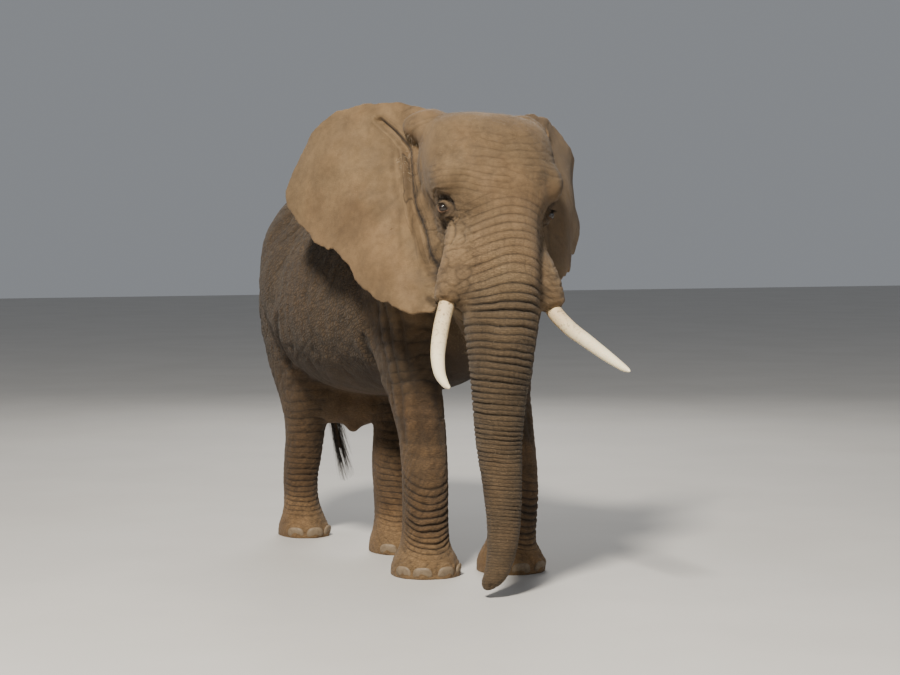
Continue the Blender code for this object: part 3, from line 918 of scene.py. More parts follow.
@dataclass(frozen=True)
class Ear:
    """An ear: a blade on a sloping root, swept back from the head."""

    side: Side
    lobe_lift: float = 0.0
    tip: float = 0.0
    droop: float = 0.0
    notch: float = 0.0
    root_top: Row = (0.41, -1.10, 3.05)
    root_bottom: Row = (0.35, -1.60, 2.02)
    sweep: tuple[float, float] = (34.0, 72.0)
    blade: Rows = (
        (-0.12, 3.17, 2.20, 0.042),
        (0.00, 3.205, 1.86, 0.034),
        (0.10, 3.21, 1.80, 0.027),
        (0.24, 3.205, 1.805, 0.020),
        (0.42, 3.185, 1.87, 0.017),
        (0.56, 3.147, 1.96, 0.015),
        (0.70, 3.075, 2.125, 0.014),
        (0.84, 2.975, 2.18, 0.013),
        (0.98, 2.835, 2.25, 0.013),
        (1.10, 2.69, 2.365, 0.012),
        (1.18, 2.58, 2.47, 0.012),
    )

    def angle(self, out: Array | float) -> Array | float:
        """How far back the blade has swept at a distance from its root, in radians."""
        share = np.maximum(out, 0.0) / self.blade[-1][0]
        return np.radians(self.sweep[0] + (self.sweep[1] - self.sweep[0]) * share / 2)

    def wave(self, out: Array | float, z: Array | float) -> Array | float:
        """How far the blade billows forward."""
        rim = np.clip((np.asarray(out) - 0.25) / 0.8, 0, 1)
        billow = 0.022 * np.sin(z * 9.0 + out * 4.0 + self.side.value) * rim
        return billow + 0.020 * np.sin(z * 4.1 - out * 7.0 + 1.0) * np.clip(np.asarray(out) / 0.4, 0, 1)

    def edge(self, out: float) -> float:
        """How far the rim is scalloped at a distance from the root, in metres."""
        rim = min(max(out, 0.0) / 0.3, 1.0)
        wide = 0.011 * math.sin(out * 27 + self.side.value) + 0.007 * math.sin(out * 49 + 2)
        return rim * (wide + 0.004 * math.sin(out * 90))

    def shape(self, clay: Clay) -> None:
        """Puts the ear down in the head's pose."""
        rings = []
        for out, top, bottom, thick in through(self.blade, 6):
            reach = np.array(out)
            lift = 0.35 + 0.65 * float(ramp(reach, 0.80, 0.35))
            bottom += self.lobe_lift * lift * float(ramp(reach, -0.1, 0.1))
            notch = (float(ramp(reach, 0.60, 0.64)) - 0.5) * float(hump(reach, 0.62, 0.30))
            bottom += self.edge(out) + self.notch * notch
            top += self.edge(out + 3.0) * 0.4 - self.droop * float(hump(reach, 0.70, 0.40))
            tip = self.tip * float(ramp(reach, 0.75, 1.10))
            top, bottom = top + tip, bottom + tip * 0.6
            sweep = float(self.angle(out))
            along = Vector((math.cos(sweep), math.sin(sweep), 0))
            facing = Vector((math.sin(sweep), -math.cos(sweep), 0))
            ring = []
            for c, s in clay.corners(2.0):
                level = max(-1.0, min(1.0, s * 1.05))
                z = (top + bottom) / 2 + ((top - bottom) / 2 - thick) * level + thick * s
                x, y = self.root(z)
                deep = thick * math.copysign(abs(c) ** 0.3, c) + float(self.wave(out, z))
                point = Vector((x, y, z)) + along * out + facing * deep
                point.x *= self.side.value
                ring.append(point)
            rings.append(ring)
        clay.move(POSE.matrix(), clay.loft(rings))

    def root(self, z: Array | float) -> tuple[Array | float, Array | float]:
        """The root's place at a height, on the left."""
        share = (z - self.root_bottom[2]) / (self.root_top[2] - self.root_bottom[2])
        x = self.root_bottom[0] + (self.root_top[0] - self.root_bottom[0]) * share
        y = self.root_bottom[1] + (self.root_top[1] - self.root_bottom[1]) * share
        return x, y

    def lies(self, head: Array) -> tuple[Array, Array, Array]:
        """Where points lie on the ear.

        Args:
            head: points about the straight head.

        Returns:
            Distance out from the root, distance forward of the blade's middle, and how much they belong.
        """
        x, y = self.root(head[:, 2])
        across, deep = head[:, 0] * self.side.value - x, head[:, 1] - y
        out = np.hypot(across, deep)
        turn = np.arctan2(deep, across) - self.angle(out)
        fore = -turn * out - self.wave(out, head[:, 2])
        belongs = ramp(np.abs(fore), 0.09, 0.06) * ramp(out, 0.03, 0.09) * ramp(np.abs(turn), 1.2, 0.7)
        bottom = np.interp(out, [r[0] for r in self.blade], [r[2] for r in self.blade])
        belongs *= ramp(head[:, 2], bottom - 0.06, bottom) * (head[:, 0] * self.side.value > 0.3)
        return out, fore, belongs

    def press(self, survey: Survey, relief: Relief) -> None:
        """Presses the folds at the root, the veins, and a net of creases over the blade."""
        near = np.nonzero(survey.head[:, 0] * self.side.value > 0.30)[0]
        head = survey.head[near]
        out, fore, belongs = self.lies(head)
        front = belongs * (fore > 0)
        z = head[:, 2]
        crease = np.zeros(len(near))
        for place, width, depth in ((0.10, 0.012, 0.0035), (0.18, 0.018, 0.003)):
            wander = 0.020 * GRAINS[1].at(head, (3.0, 3.0, 3.0)) + 0.015 * np.sin(z * 4 + place * 30)
            gate = ramp(z, 2.05, 2.30) * ramp(z, 3.10, 2.85)
            crease += depth * line_crease(np.abs(out - place - wander), width) * front * gate
        fan = np.arctan2(z - 2.75, out + 0.12)
        rays = np.abs(np.sin(fan * 12 + 1.6 * GRAINS[2].at(head, (4.0, 4.0, 4.0))))
        crease -= 0.0026 * (1 - rays) ** 2 * belongs * ramp(out, 0.55, 0.15)
        crease += 0.0011 * net(head, (6.0, 6.0, 6.0), 0.10, 3) * belongs * ramp(out, 0.1, 0.4)
        relief.form[near] += 0.010 * GRAINS[5].at(head, (3.4, 3.4, 2.4)) * belongs
        relief.crease[near] += crease


@dataclass(frozen=True)
class Leg:
    """A leg: level rings down a bent line, with toes at its foot."""

    side: Side
    pair: Pair
    thickness: Rows
    line: Rows
    toes: Sequence[float]
    folds: Rows
    sag: float

    @property
    def node(self) -> str:
        """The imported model's name for the leg."""
        return f"{self.side.word}_{self.pair.value}_leg"

    def rows(self) -> Rows:
        """The leg's level rings: (x, y, z, half width, half length)."""
        return tuple((x, y, *row) for (x, y), row in zip(self.line, self.thickness))

    def toe_spots(self, inset: float, height: float) -> list[tuple[Vector, float]]:
        """Where each toe stands: its place, and the way it faces in radians."""
        x, y, _, half, length = self.rows()[-2]
        spots = []
        for degrees in self.toes:
            a = math.radians(degrees) * self.side.value
            spot = Vector((x + (half - inset) * math.sin(a), y - (length - inset) * math.cos(a), height))
            spots.append((spot, a))
        return spots

    def shape(self, clay: Clay) -> None:
        """Puts the leg and its toes down."""
        clay.column(self.rows())
        for spot, a in self.toe_spots(0.012, 0.045):
            clay.ball(spot, (0.066, 0.034, 0.058), (0, 0, math.degrees(a)))

    def press(self, survey: Survey, relief: Relief) -> None:
        """Presses the folds that ring the leg, and the gaps between its toes."""
        points = survey.points
        near = np.nonzero(points[:, 2] < 1.75)[0]
        ratio, angle, level = Shaft(self.rows()).locate(points[near])
        belongs = ramp(ratio, 1.30, 1.14)
        angle = angle * self.side.value
        level = points[near, 2] + self.sag * np.cos(angle - 0.35) * ramp(points[near, 2], 1.2, 0.6)
        spots = points[near] + np.array((0.0, 0.0, self.side.value * 3.3))
        warp = 0.40 * GRAINS[1].at(spots, (4.0, 3.0, 4.0)) + 0.14 * GRAINS[0].at(spots, (12.0, 10.0, 8.0))
        front = ramp(np.abs(angle - 0.17), 1.9, 0.7)
        sway = np.clip(0.25 + 0.90 * front + 0.45 * GRAINS[2].at(spots, (4.0, 4.0, 5.0)), 0.0, 1.35)
        seed = 11 + self.side.value + (4 if self.pair is Pair.FORE else 0)
        rings = Rings(self.folds)
        relief.crease[near] += rings.valleys(level, warp, sway, seed) * belongs
        shown = ramp(np.interp(level, rings.levels, rings.depths), 0.003, 0.009) * ramp(sway, 0.2, 0.9)
        relief.ring(near, rings.turns(level) + warp, belongs * shown, rings.width(level))
        slant = np.c_[points[near, :2], points[near, 2] * 0.5 + angle * 0.10]
        relief.crease[near] += 0.0035 * net(slant, (7.0, 7.0, 26.0), 0.14, 3) * belongs
        relief.crease[near] += 0.0018 * net(spots, (18.0, 18.0, 30.0), 0.20, 5) * belongs
        for spot, _ in self.toe_spots(0.0, 0.055):
            reach = span(points[near], spot, (1.0, 1.0, 0.95))
            relief.form[near] -= 0.006 * bell(reach, 0.011, 0.070)


def legs() -> list[Leg]:
    """The four legs with their sizes."""
    fore_thickness = (
        (2.30, 0.20, 0.36), (2.00, 0.22, 0.37), (1.70, 0.21, 0.32), (1.42, 0.20, 0.26),
        (1.20, 0.184, 0.213), (0.95, 0.162, 0.190), (0.72, 0.156, 0.182), (0.50, 0.156, 0.176),
        (0.33, 0.157, 0.176), (0.20, 0.172, 0.190), (0.09, 0.230, 0.240), (-0.06, 0.236, 0.246),
    )
    hind_thickness = (
        (2.30, 0.20, 0.38), (2.00, 0.22, 0.42), (1.70, 0.23, 0.42), (1.40, 0.205, 0.40),
        (1.12, 0.178, 0.295), (0.86, 0.150, 0.195), (0.62, 0.140, 0.176), (0.42, 0.130, 0.164),
        (0.27, 0.132, 0.166), (0.16, 0.156, 0.190), (0.07, 0.188, 0.230), (-0.06, 0.190, 0.232),
    )
    fore_folds = (
        (1.75, 0.10, 0.004), (1.35, 0.085, 0.006), (1.00, 0.075, 0.003), (0.80, 0.06, 0.003),
        (0.62, 0.050, 0.009), (0.50, 0.054, 0.0170), (0.38, 0.040, 0.0185), (0.29, 0.033, 0.0150),
        (0.23, 0.030, 0.0050), (0.19, 0.030, 0.0010),
        (0.0, 0.034, 0.0),
    )
    hind_folds = (
        (1.75, 0.11, 0.003), (1.20, 0.085, 0.005), (0.95, 0.060, 0.006), (0.70, 0.048, 0.006),
        (0.45, 0.042, 0.008), (0.24, 0.034, 0.007), (0.14, 0.032, 0.003), (0.0, 0.032, 0.0),
    )
    right_fore = (
        (-0.40, -0.84), (-0.40, -0.83), (-0.38, -0.82), (-0.34, -0.82), (-0.30, -0.85), (-0.275, -0.90),
        (-0.28, -0.95), (-0.285, -0.97), (-0.29, -0.98), (-0.30, -1.00), (-0.305, -1.01), (-0.305, -1.01),
    )
    left_fore = (
        (0.40, -0.88), (0.40, -0.88), (0.38, -0.89), (0.365, -0.90), (0.35, -0.94), (0.365, -1.00),
        (0.375, -1.04), (0.37, -1.07), (0.35, -1.08), (0.32, -1.10), (0.31, -1.11), (0.31, -1.11),
    )
    right_hind = (
        (-0.42, 0.98), (-0.46, 0.96), (-0.46, 0.95), (-0.42, 0.97), (-0.37, 0.98), (-0.335, 1.04),
        (-0.32, 1.13), (-0.32, 1.18), (-0.32, 1.16), (-0.32, 1.13), (-0.32, 1.12), (-0.32, 1.12),
    )
    left_hind = (
        (0.42, 0.92), (0.43, 0.82), (0.38, 0.70), (0.30, 0.58), (0.18, 0.44), (0.085, 0.32),
        (0.02, 0.23), (-0.01, 0.16), (-0.03, 0.10), (-0.04, 0.05), (-0.04, 0.03), (-0.04, 0.03),
    )
    fore_toes, hind_toes = (-54, -11, 32, 68), (-46, 0, 46)
    return [
        Leg(Side.RIGHT, Pair.FORE, fore_thickness, right_fore, fore_toes, fore_folds, 0.085),
        Leg(Side.LEFT, Pair.FORE, fore_thickness, left_fore, fore_toes, fore_folds, 0.085),
        Leg(Side.RIGHT, Pair.HIND, hind_thickness, right_hind, hind_toes, hind_folds, 0.02),
        Leg(Side.LEFT, Pair.HIND, hind_thickness, left_hind, hind_toes, hind_folds, 0.02),
    ]


@dataclass(frozen=True)
class Torso:
    """Barrel of the body and the neck."""

    barrel: Rows = (
        (-1.34, 2.60, 2.15, 1.76, 0.24, 2.0, 2.0),
        (-1.20, 2.84, 2.12, 1.54, 0.39, 1.9, 2.0),
        (-0.98, 3.00, 2.05, 1.38, 0.54, 1.7, 2.1),
        (-0.62, 3.05, 1.95, 1.27, 0.66, 1.6, 2.2),
        (-0.20, 2.89, 1.88, 1.19, 0.75, 1.7, 2.2),
        (0.25, 2.80, 1.85, 1.14, 0.80, 1.8, 2.2),
        (0.65, 2.84, 1.90, 1.16, 0.80, 1.75, 2.2),
        (0.95, 2.87, 2.00, 1.28, 0.75, 1.6, 2.1),
        (1.22, 2.74, 2.05, 1.48, 0.60, 1.6, 2.0),
        (1.42, 2.52, 2.05, 1.70, 0.37, 1.8, 2.0),
        (1.50, 2.36, 2.08, 1.88, 0.18, 2.0, 2.0),
    )
    neck: Rows = (
        (-1.50, 2.95, 2.45, 2.02, 0.30, 2.0, 2.0),
        (-1.25, 2.99, 2.40, 1.86, 0.40, 2.0, 2.0),
        (-1.00, 3.00, 2.30, 1.66, 0.47, 2.0, 2.0),
        (-0.70, 2.96, 2.20, 1.55, 0.50, 2.0, 2.0),
    )
    # behind the shoulder blade, over the hip and before it: height, width, path
    bones: Sequence[tuple[float, float, Rows]] = (
        (-0.016, 0.07, ((-0.35, 2.80), (-0.45, 2.45), (-0.62, 2.10), (-0.85, 1.85))),
        (0.018, 0.10, ((0.45, 2.72), (0.62, 2.60), (0.75, 2.50))),
        (-0.022, 0.12, ((0.42, 2.35), (0.50, 2.15), (0.55, 1.85))),
    )
    # the creases behind the elbow and before the thigh: depth, width, path
    pits: Sequence[tuple[float, float, Rows]] = (
        (0.016, 0.030, ((-0.62, 1.62), (-0.60, 1.48), (-0.68, 1.38))),
        (0.014, 0.028, ((0.50, 1.75), (0.62, 1.55), (0.78, 1.35))),
    )

    def shape(self, clay: Clay) -> None:
        """Puts the barrel, neck, shoulders, hips and groin down."""
        clay.barrel(self.barrel)
        clay.barrel(self.neck)
        for side in Side:
            clay.ball((side.value * 0.40, -0.74, 2.25), (0.25, 0.36, 0.62), (0, side.value * -7, 0))
            clay.ball((side.value * 0.40, 0.88, 2.12), (0.33, 0.44, 0.56), (0, side.value * -8, 0))
        clay.ball((-0.20, 0.82, 1.11), (0.19, 0.27, 0.22))
        clay.ball((-0.02, 0.68, 1.10), (0.18, 0.27, 0.22))
        clay.ball((-0.09, 0.70, 0.985), (0.060, 0.15, 0.165), (-8, 0, 0))

    def press(self, survey: Survey, relief: Relief) -> None:
        """Presses the flank's drapes, the neck's folds and the bones under the hide."""
        points = survey.points
        near = np.nonzero((points[:, 1] > -1.35) & (points[:, 2] > 0.9))[0]
        spots = points[near]
        x, y, z = np.abs(spots[:, 0]), spots[:, 1], spots[:, 2]
        side = spots[:, 1:3]
        body = ramp(z, 1.0, 1.25)
        form, crease = np.zeros(len(near)), np.zeros(len(near))
        flank = body * ramp(x, 0.15, 0.35)
        form += 0.012 * GRAINS[3].at(spots, (2.4, 2.4, 1.6)) * body
        form += 0.004 * GRAINS[4].at(spots, 7.0) * body

        lean = np.c_[x * 0.3, y * 0.56 + z * 0.83, z * 0.56 - y * 0.83]
        form += 0.0060 * net(lean, (2.0, 5.0, 1.6), 0.22, 1) * flank * ramp(y, -0.5, -0.2)
        crease += 0.0040 * net(lean, (5.0, 15.0, 5.0), 0.13, 2) * flank
        neck = ramp(y, -0.72, -0.92) * ramp(x, 0.1, 0.3)
        drapes = arch(y / 0.105 + 0.5 * GRAINS[0].at(spots, (2.5, 2.5, 2.5)), 0.6)
        crease -= 0.013 * (1 - drapes) * neck * ramp(z, 2.9, 2.5)

        for height, width, path in self.bones:
            form += height * bell(away(side, path), width) * flank
        spine = bell(spots[:, 0], 0.05) * ramp(z, 2.5, 2.7) * ramp(y, -0.6, -0.3)
        form += spine * (0.010 + 0.006 * np.sin(y * 42))
        for level in range(7):
            top, low = level * 0.115, level * 0.12
            rib = away(side, ((-0.30 + top, 2.45), (-0.33 + low, 1.95), (-0.24 + low, 1.55)))
            form += 0.0045 * bell(rib, 0.028) * flank
        for depth, width, path in self.pits:
            crease += depth * line_crease(away(side, path), width) * ramp(x, 0.2, 0.4)
        seat = ramp(y, 1.0, 1.3) * ramp(x, 0.06, 0.2)
        crease += 0.0065 * net(spots, (10.0, 3.0, 2.6), 0.14, 4) * seat
        relief.form[near] += form
        relief.crease[near] += crease


@dataclass(frozen=True)
class Tail:
    """The tail, a rope of hide that ends in a tassel."""

    line: Rows = (
        (0.0, 1.36, 2.33, 0.085),
        (0.0, 1.49, 2.18, 0.068),
        (0.01, 1.56, 1.92, 0.052),
        (0.03, 1.57, 1.58, 0.041),
        (0.06, 1.55, 1.25, 0.032),
        (0.09, 1.52, 0.98, 0.025),
        (0.115, 1.50, 0.80, 0.020),
        (0.15, 1.485, 0.62, 0.014),
    )

    def shape(self, clay: Clay) -> None:
        """Puts the tail down."""
        clay.pipe(self.line)

    def press(self, survey: Survey, relief: Relief) -> None:
        """Presses the rings along the tail."""
        near = np.nonzero(survey.points[:, 1] > 1.38)[0]
        spots = survey.points[near]
        ratio, _, _ = Shaft(self.line).locate(spots)
        belongs = ramp(ratio, 1.5, 1.25) * ramp(spots[:, 1], 1.42, 1.47) * ramp(spots[:, 2], 2.25, 2.1)
        turns = spots[:, 2] / 0.030 + 0.5 * GRAINS[0].at(spots, 9.0)
        relief.crease[near] -= 0.0035 * (1 - arch(turns)) * belongs


# ---- the hide ----
class Skin:
    """The melted skin as arrays, so that every fold is pressed in at once."""

    def __init__(self, made: Object) -> None:
        """Reads an object's mesh."""
        self.made = made
        self.read()

    def read(self) -> None:
        """Takes points, normals and edges from the mesh."""
        mesh = self.made.data
        self.points = self.column(mesh.vertices, "co", 3)
        self.pairs = self.column(mesh.edges, "vertices", 2, np.int32)
        self.normals = self.column(mesh.vertex_normals, "vector", 3)

    @staticmethod
    def column(items: bpy.types.bpy_prop_collection, name: str, width: int, kind: type = np.float32) -> Array:
        """One property of every item, as rows."""
        found = np.empty(len(items) * width, kind)
        items.foreach_get(name, found)
        return found.reshape(-1, width).astype(float if kind is np.float32 else kind)

    def write(self) -> None:
        """Puts the points back, and reads the new normals."""
        mesh = self.made.data
        mesh.vertices.foreach_set("co", self.points.astype(np.float32).ravel())
        mesh.update()
        self.normals = self.column(mesh.vertex_normals, "vector", 3)

    def relax(self, rounds: int, give: Array | float = 1.0) -> None:
        """Smooths the skin without shrinking it.

        Args:
            rounds: how many times it is smoothed and swelled back.
            give: how freely each point moves, from 0 to 1.
        """
        a, b = self.pairs.T
        count = np.bincount(a, minlength=len(self.points)) + np.bincount(b, minlength=len(self.points))
        give = np.broadcast_to(give, len(self.points))[:, None]
        for step in range(rounds * 2):
            mean = np.empty_like(self.points)
            for axis in range(3):
                line = self.points[:, axis]
                total = np.bincount(a, line[b], len(line)) + np.bincount(b, line[a], len(line))
                mean[:, axis] = total / count
            self.points += (mean - self.points) * (-0.52 if step % 2 else 0.5) * give
        self.write()

    def refine(self, wanted: Callable[[Array], Array]) -> None:
        """Cuts the squares smaller where more detail is wanted.

        Args:
            wanted: tells which of the points want it.
        """
        picked = wanted(self.points)
        with opened(self.made.data) as shape:
            edges = [edge for edge in shape.edges if all(picked[vert.index] for vert in edge.verts)]
            bmesh.ops.subdivide_edges(shape, edges=edges, cuts=1, use_grid_fill=True)
        self.read()


class Paint:
    """Colours laid over the hide, one over another."""

    def __init__(self, count: int, base: Row) -> None:
        """Lays the base colour on every point."""
        self.colour = np.tile(base, (count, 1))

    def lay(self, tone: Row, share: Array) -> None:
        """Lays a tone over the hide, as thick as share says."""
        self.colour += (np.array(tone) - self.colour) * np.clip(share, 0, 1)[:, None]


@dataclass(frozen=True)
class Hide:
    """The whole skin: what it is shaped over, how finely it is worked, and its markings with their painted
    shade.
    """

    torso: Torso
    head: Head
    ears: Sequence[Ear]
    legs: Sequence[Leg]
    tail: Tail
    lids: Lids
    coarse: float = 0.026
    voxel: float = 0.0112
    quick_voxel: float = 0.018
    eye_reach: float = 0.12
    lid_reach: float = 0.060
    triangles: int = 196000
    # the body's tone: the hide's own colour, darkened in part as painted shade for the flanks
    base: Row = (0.085, 0.064, 0.043)
    warmth: Row = (0.80, 0.67, 0.50)

    def build(self) -> Object:
        """Shapes, melts, presses and thins the hide, and returns it."""
        voxel = self.voxel
        skin = Skin(self.melt_clay(voxel))
        skin.relax(5)
        log.info("hide melted: %d points", len(skin.points))
        skin.refine(self.wants_detail)
        skin.relax(2)
        skin.refine(self.near_eyes)
        skin.refine(self.near_lids)
        log.info("hide refined: %d points", len(skin.points))
        survey = Survey(skin.points, skin.normals)
        skin.points, held = self.lids.part_lids(survey)
        skin.write()
        relief = self.press(Survey(skin.points, skin.normals))
        skin.points += skin.normals * (relief.total() * (1 - held))[:, None]
        skin.points[:, 2] = np.maximum(skin.points[:, 2], 0.0)
        skin.write()
        self.thin(skin, held)
        return skin.made

    def melt_clay(self, voxel: float) -> Object:
        """Melts the flesh softly, then the thin parts onto it, with the feet cut off level with the floor.

        Args:
            voxel: how fine the last melting is.

        Returns:
            The melted skin.
        """
        flesh = Clay()
        self.torso.shape(flesh)
        for leg in self.legs:
            leg.shape(flesh)
        self.head.shape(flesh)
        body = melt(flesh.lift("hide"), self.coarse)
        soften = body.modifiers.new("Soften", "SMOOTH")
        soften.factor = 0.5
        soften.iterations = 5
        body.modifiers.new("Round", "SUBSURF").levels = 1
        settle(body)
        thin = Clay(40)
        for ear in self.ears:
            ear.shape(thin)
        self.tail.shape(thin)
        blades = thin.lift("blades")
        with opened(body.data) as shape:
            shape.from_mesh(blades.data)
        bpy.data.objects.remove(blades)
        with opened(body.data) as shape:
            everything = shape.verts[:] + shape.edges[:] + shape.faces[:]
            bmesh.ops.bisect_plane(
                shape, geom=everything, plane_co=(0, 0, 0), plane_no=(0, 0, -1), clear_outer=True)
            bmesh.ops.holes_fill(shape, edges=[edge for edge in shape.edges if edge.is_boundary])
        return melt(body, voxel)

    def wants_detail(self, points: Array) -> Array:
        """Tells which points are on the face, trunk, or lower legs."""
        head = POSE.straighten(points)
        face = (head[:, 1] < -1.42) & (np.abs(head[:, 0]) < 0.47)
        feet = (points[:, 2] < 0.75) & (points[:, 1] < -0.6)
        behind, beside = self.head.gap(head)
        return face | feet | ((np.abs(behind) < 0.05) & (beside > 0))

    def near_eyes(self, points: Array) -> Array:
        """Tells which points are about the eyes."""
        return self.lids.reach(POSE.straighten(points)) < self.eye_reach

    def near_lids(self, points: Array) -> Array:
        """Tells which points are on the lids."""
        return self.lids.reach(POSE.straighten(points)) < self.lid_reach

    def press(self, survey: Survey) -> Relief:
        """Every part's own folds, together."""
        relief = Relief(len(survey.points))
        self.torso.press(survey, relief)
        self.head.press(survey, relief)
        blades = 1 - np.maximum(*(ear.lies(survey.head)[2] for ear in self.ears))
        relief.form *= blades
        relief.crease *= blades
        self.head.press_gap(survey, relief)
        self.head.trunk.press(survey, relief)
        self.lids.press(survey, relief)
        for part in (*self.ears, *self.legs, self.tail):
            part.press(survey, relief)
        relief.crease *= ramp(survey.points[:, 2], 0.0, 0.03)
        relief.form *= ramp(survey.points[:, 2], 0.0, 0.03)
        return relief

    def thin(self, skin: Skin, held: Array) -> None:
        """Thins the mesh where the hide is even, and keeps the lids whole."""
        made = skin.made
        with opened(made.data) as shape:
            bmesh.ops.triangulate(shape, faces=shape.faces)
        group = made.vertex_groups.new(name="thin")
        head = POSE.straighten(skin.points)
        fine = ramp(head[:, 1], -1.30, -1.50) * ramp(np.abs(head[:, 0]), 0.60, 0.50)
        feet = ramp(skin.points[:, 2], 0.80, 0.60) * ramp(skin.points[:, 1], -0.4, -0.6)
        fine = np.maximum(fine, feet * 0.6)
        loose = np.clip(1 - held * 0.5 - 0.06 * fine, 0.05, 1)
        for weight in np.unique(np.round(loose, 2)):
            members = np.nonzero(np.round(loose, 2) == weight)[0].tolist()
            group.add(members, float(weight), "REPLACE")
        fewer = made.modifiers.new("Fewer", "DECIMATE")
        fewer.ratio = min(1.0, self.triangles / len(made.data.polygons))
        fewer.vertex_group = group.name
        fewer.vertex_group_factor = 0.0004
        settle(made)
        made.vertex_groups.clear()
        skin.read()

    def mark(self, made: Object) -> None:
        """Paints the markings on the hide as attributes of its points: its own tones, with painted shade in
        creases and hollows and a painted highlight on the upper lids.
        """
        skin = Skin(made)
        survey = Survey(skin.points, skin.normals)
        relief = self.press(survey)
        head, z = survey.head, survey.points[:, 2]
        trunk = self.head.trunk.lies(head)[0]
        skull = ramp(head[:, 1], -0.9, -1.15) * ramp(z, 1.5, 1.9)
        behind, beside = self.head.gap(head)
        rear = ramp(behind, -0.002, 0.010) * ramp(behind, 0.22, 0.12) * beside
        paint = Paint(len(z), self.base)
        self.paint_regions(paint.lay, survey, trunk, skull, rear)
        for side in Side:
            self.paint_eye(paint.lay, side, head, skull)
        self.paint_hollow_shade(paint.lay, survey, behind, beside)
        # Painted shade: the colour is darkened by up to half in the creases.
        fold = np.clip(-relief.crease / 0.008, 0, 1)
        colour = paint.colour * ((1 - 0.50 * fold)[:, None] * np.array(self.warmth))
        smooth = np.maximum(sum(ear.lies(head)[2] for ear in self.ears), rear)
        smooth = np.clip(np.maximum(smooth, ramp(self.lids.reach(head), 0.06, 0.03)), 0, 1)
        calm = 0.40 * skull * ramp(head[:, 2], 2.45, 2.70)
        limb = np.maximum(ramp(z, 1.6, 1.1), trunk * ramp(head[:, 2], 2.6, 2.2))
        limb = np.maximum(limb, 0.55 * skull * ramp(head[:, 1], -1.3, -1.5))
        flank = ramp(survey.points[:, 1], -0.95, -0.6) * ramp(z, 1.1, 1.5) * (1 - smooth)
        store(made, "tone_with_painted_shade", "FLOAT_COLOR", np.c_[colour, np.ones(len(colour))])
        for name, values in (
            ("ring_count", relief.turns), ("ring_share", relief.ringed), ("ring_shade_width", relief.width),
            ("coarse", 1 - np.maximum(0.65 * smooth, calm)), ("limb", limb), ("flank", flank),
        ):
            store(made, name, "FLOAT", values)

    def paint_regions(self, lay: Lay, survey: Survey, trunk: Array, skull: Array, rear: Array) -> None:
        """Lays the tones of legs, face, trunk, ears, back and feet, and painted shade on faces turned down,
        as under the belly.

        Args:
            lay: lays a tone.
            survey: the hide's points.
            trunk: how much points belong to the trunk.
            skull: how much they belong to the head.
            rear: how much they lie just behind the gap before an ear.
        """
        points, head, normals = survey.points, survey.head, survey.normals
        z = points[:, 2]
        blur = 0.10 * GRAINS[1].at(points, 3.0)
        lay((0.120, 0.085, 0.052), ramp(z, 1.5, 1.1) * 0.9)
        # Painted shade on faces turned down, under the belly and body.
        lay((0.050, 0.036, 0.025), ramp(-normals[:, 2], 0.2, 0.8) * ramp(z, 1.0, 1.3) * 0.8)
        lay((0.163, 0.125, 0.083), skull * (1 + blur))
        lay((0.215, 0.170, 0.118), skull * ramp(z + blur, 2.62, 2.36) * ramp(head[:, 1], -1.45, -1.70))
        lay((0.138, 0.110, 0.078), trunk * ramp(z + blur * 0.6, 2.15, 1.85) * 0.9)
        lay((0.118, 0.093, 0.065), trunk * ramp(z + blur * 0.6, 1.9, 1.3))
        for ear in self.ears:
            belongs = np.maximum(ear.lies(head)[2], rear * (head[:, 0] * ear.side.value > 0))
            lay((0.183, 0.141, 0.094), belongs)
            lay((0.122, 0.093, 0.062), belongs * ramp(GRAINS[2].at(head, (3.0, 3.0, 3.0)), -0.15, 0.6) * 0.75)
        top = ramp(normals[:, 2], 0.3, 0.9) * ramp(z, 2.3, 2.7)
        lay((0.170, 0.128, 0.084), top * 0.5 * ramp(GRAINS[0].at(points, 2.2), -0.5, 0.6))
        feet = ramp(z + 0.10 * GRAINS[2].at(points, 6.0), 0.36, 0.14)
        lay((0.245, 0.180, 0.112), feet * 0.9 * ramp(head[:, 1], -2.3, -1.4))

    def paint_eye(self, lay: Lay, side: Side, head: Array, skull: Array) -> None:
        """Lays the tones round one eye: painted shade in the socket, the fold above and the hollow below it,
        the rims' own colours, a painted highlight on the upper lid, and the tear stain.

        Args:
            lay: lays a tone.
            side: which eye.
            head: points about the straight head.
            skull: how much points belong to the head.
        """
        apart = head - self.lids.middle(side)
        reach = np.linalg.norm(apart, axis=1)
        # Painted shade over the socket round the eye.
        lay((0.060, 0.045, 0.032), ramp(reach, 0.14, 0.05) * 0.75)
        front, up, _ = (apart @ self.lids.axes(side).T).T
        lip = bell(self.lids.gap(front, up)[0], 0.004, 0.002) * (reach < 0.06)
        lay((0.21, 0.135, 0.105), lip * ramp(up, 0.006, -0.006) * 0.8)
        lay((0.022, 0.016, 0.013), lip * ramp(up, -0.006, 0.006) * 0.8)
        # Painted shade in the deep fold above the eye.
        fold = bell(np.hypot(front / 1.22, up), 0.008, 0.064) * (reach < 0.1)
        lay((0.030, 0.022, 0.016), fold * ramp(up, 0.0, 0.04) * 0.85)
        # Painted highlight on the upper lid's bulge.
        crest = bell(np.hypot(front, up), 0.010, 0.046) * ramp(up, 0.01, 0.03)
        lay((0.180, 0.142, 0.100), crest * 0.6)
        # Painted shade in the hollow under and behind the eye.
        under_eye_shade = span(apart, (0, 0.10, -0.105), (0.2, 0.075, 0.045))
        lay((0.050, 0.037, 0.026), ramp(under_eye_shade, 1.1, 0.3) * 0.7)
        stain = bell(away(head[:, 1:3], self.lids.stain), 0.040) * (head[:, 0] * side.value > 0.2)
        lay((0.075, 0.056, 0.040), stain * 0.6 * skull)

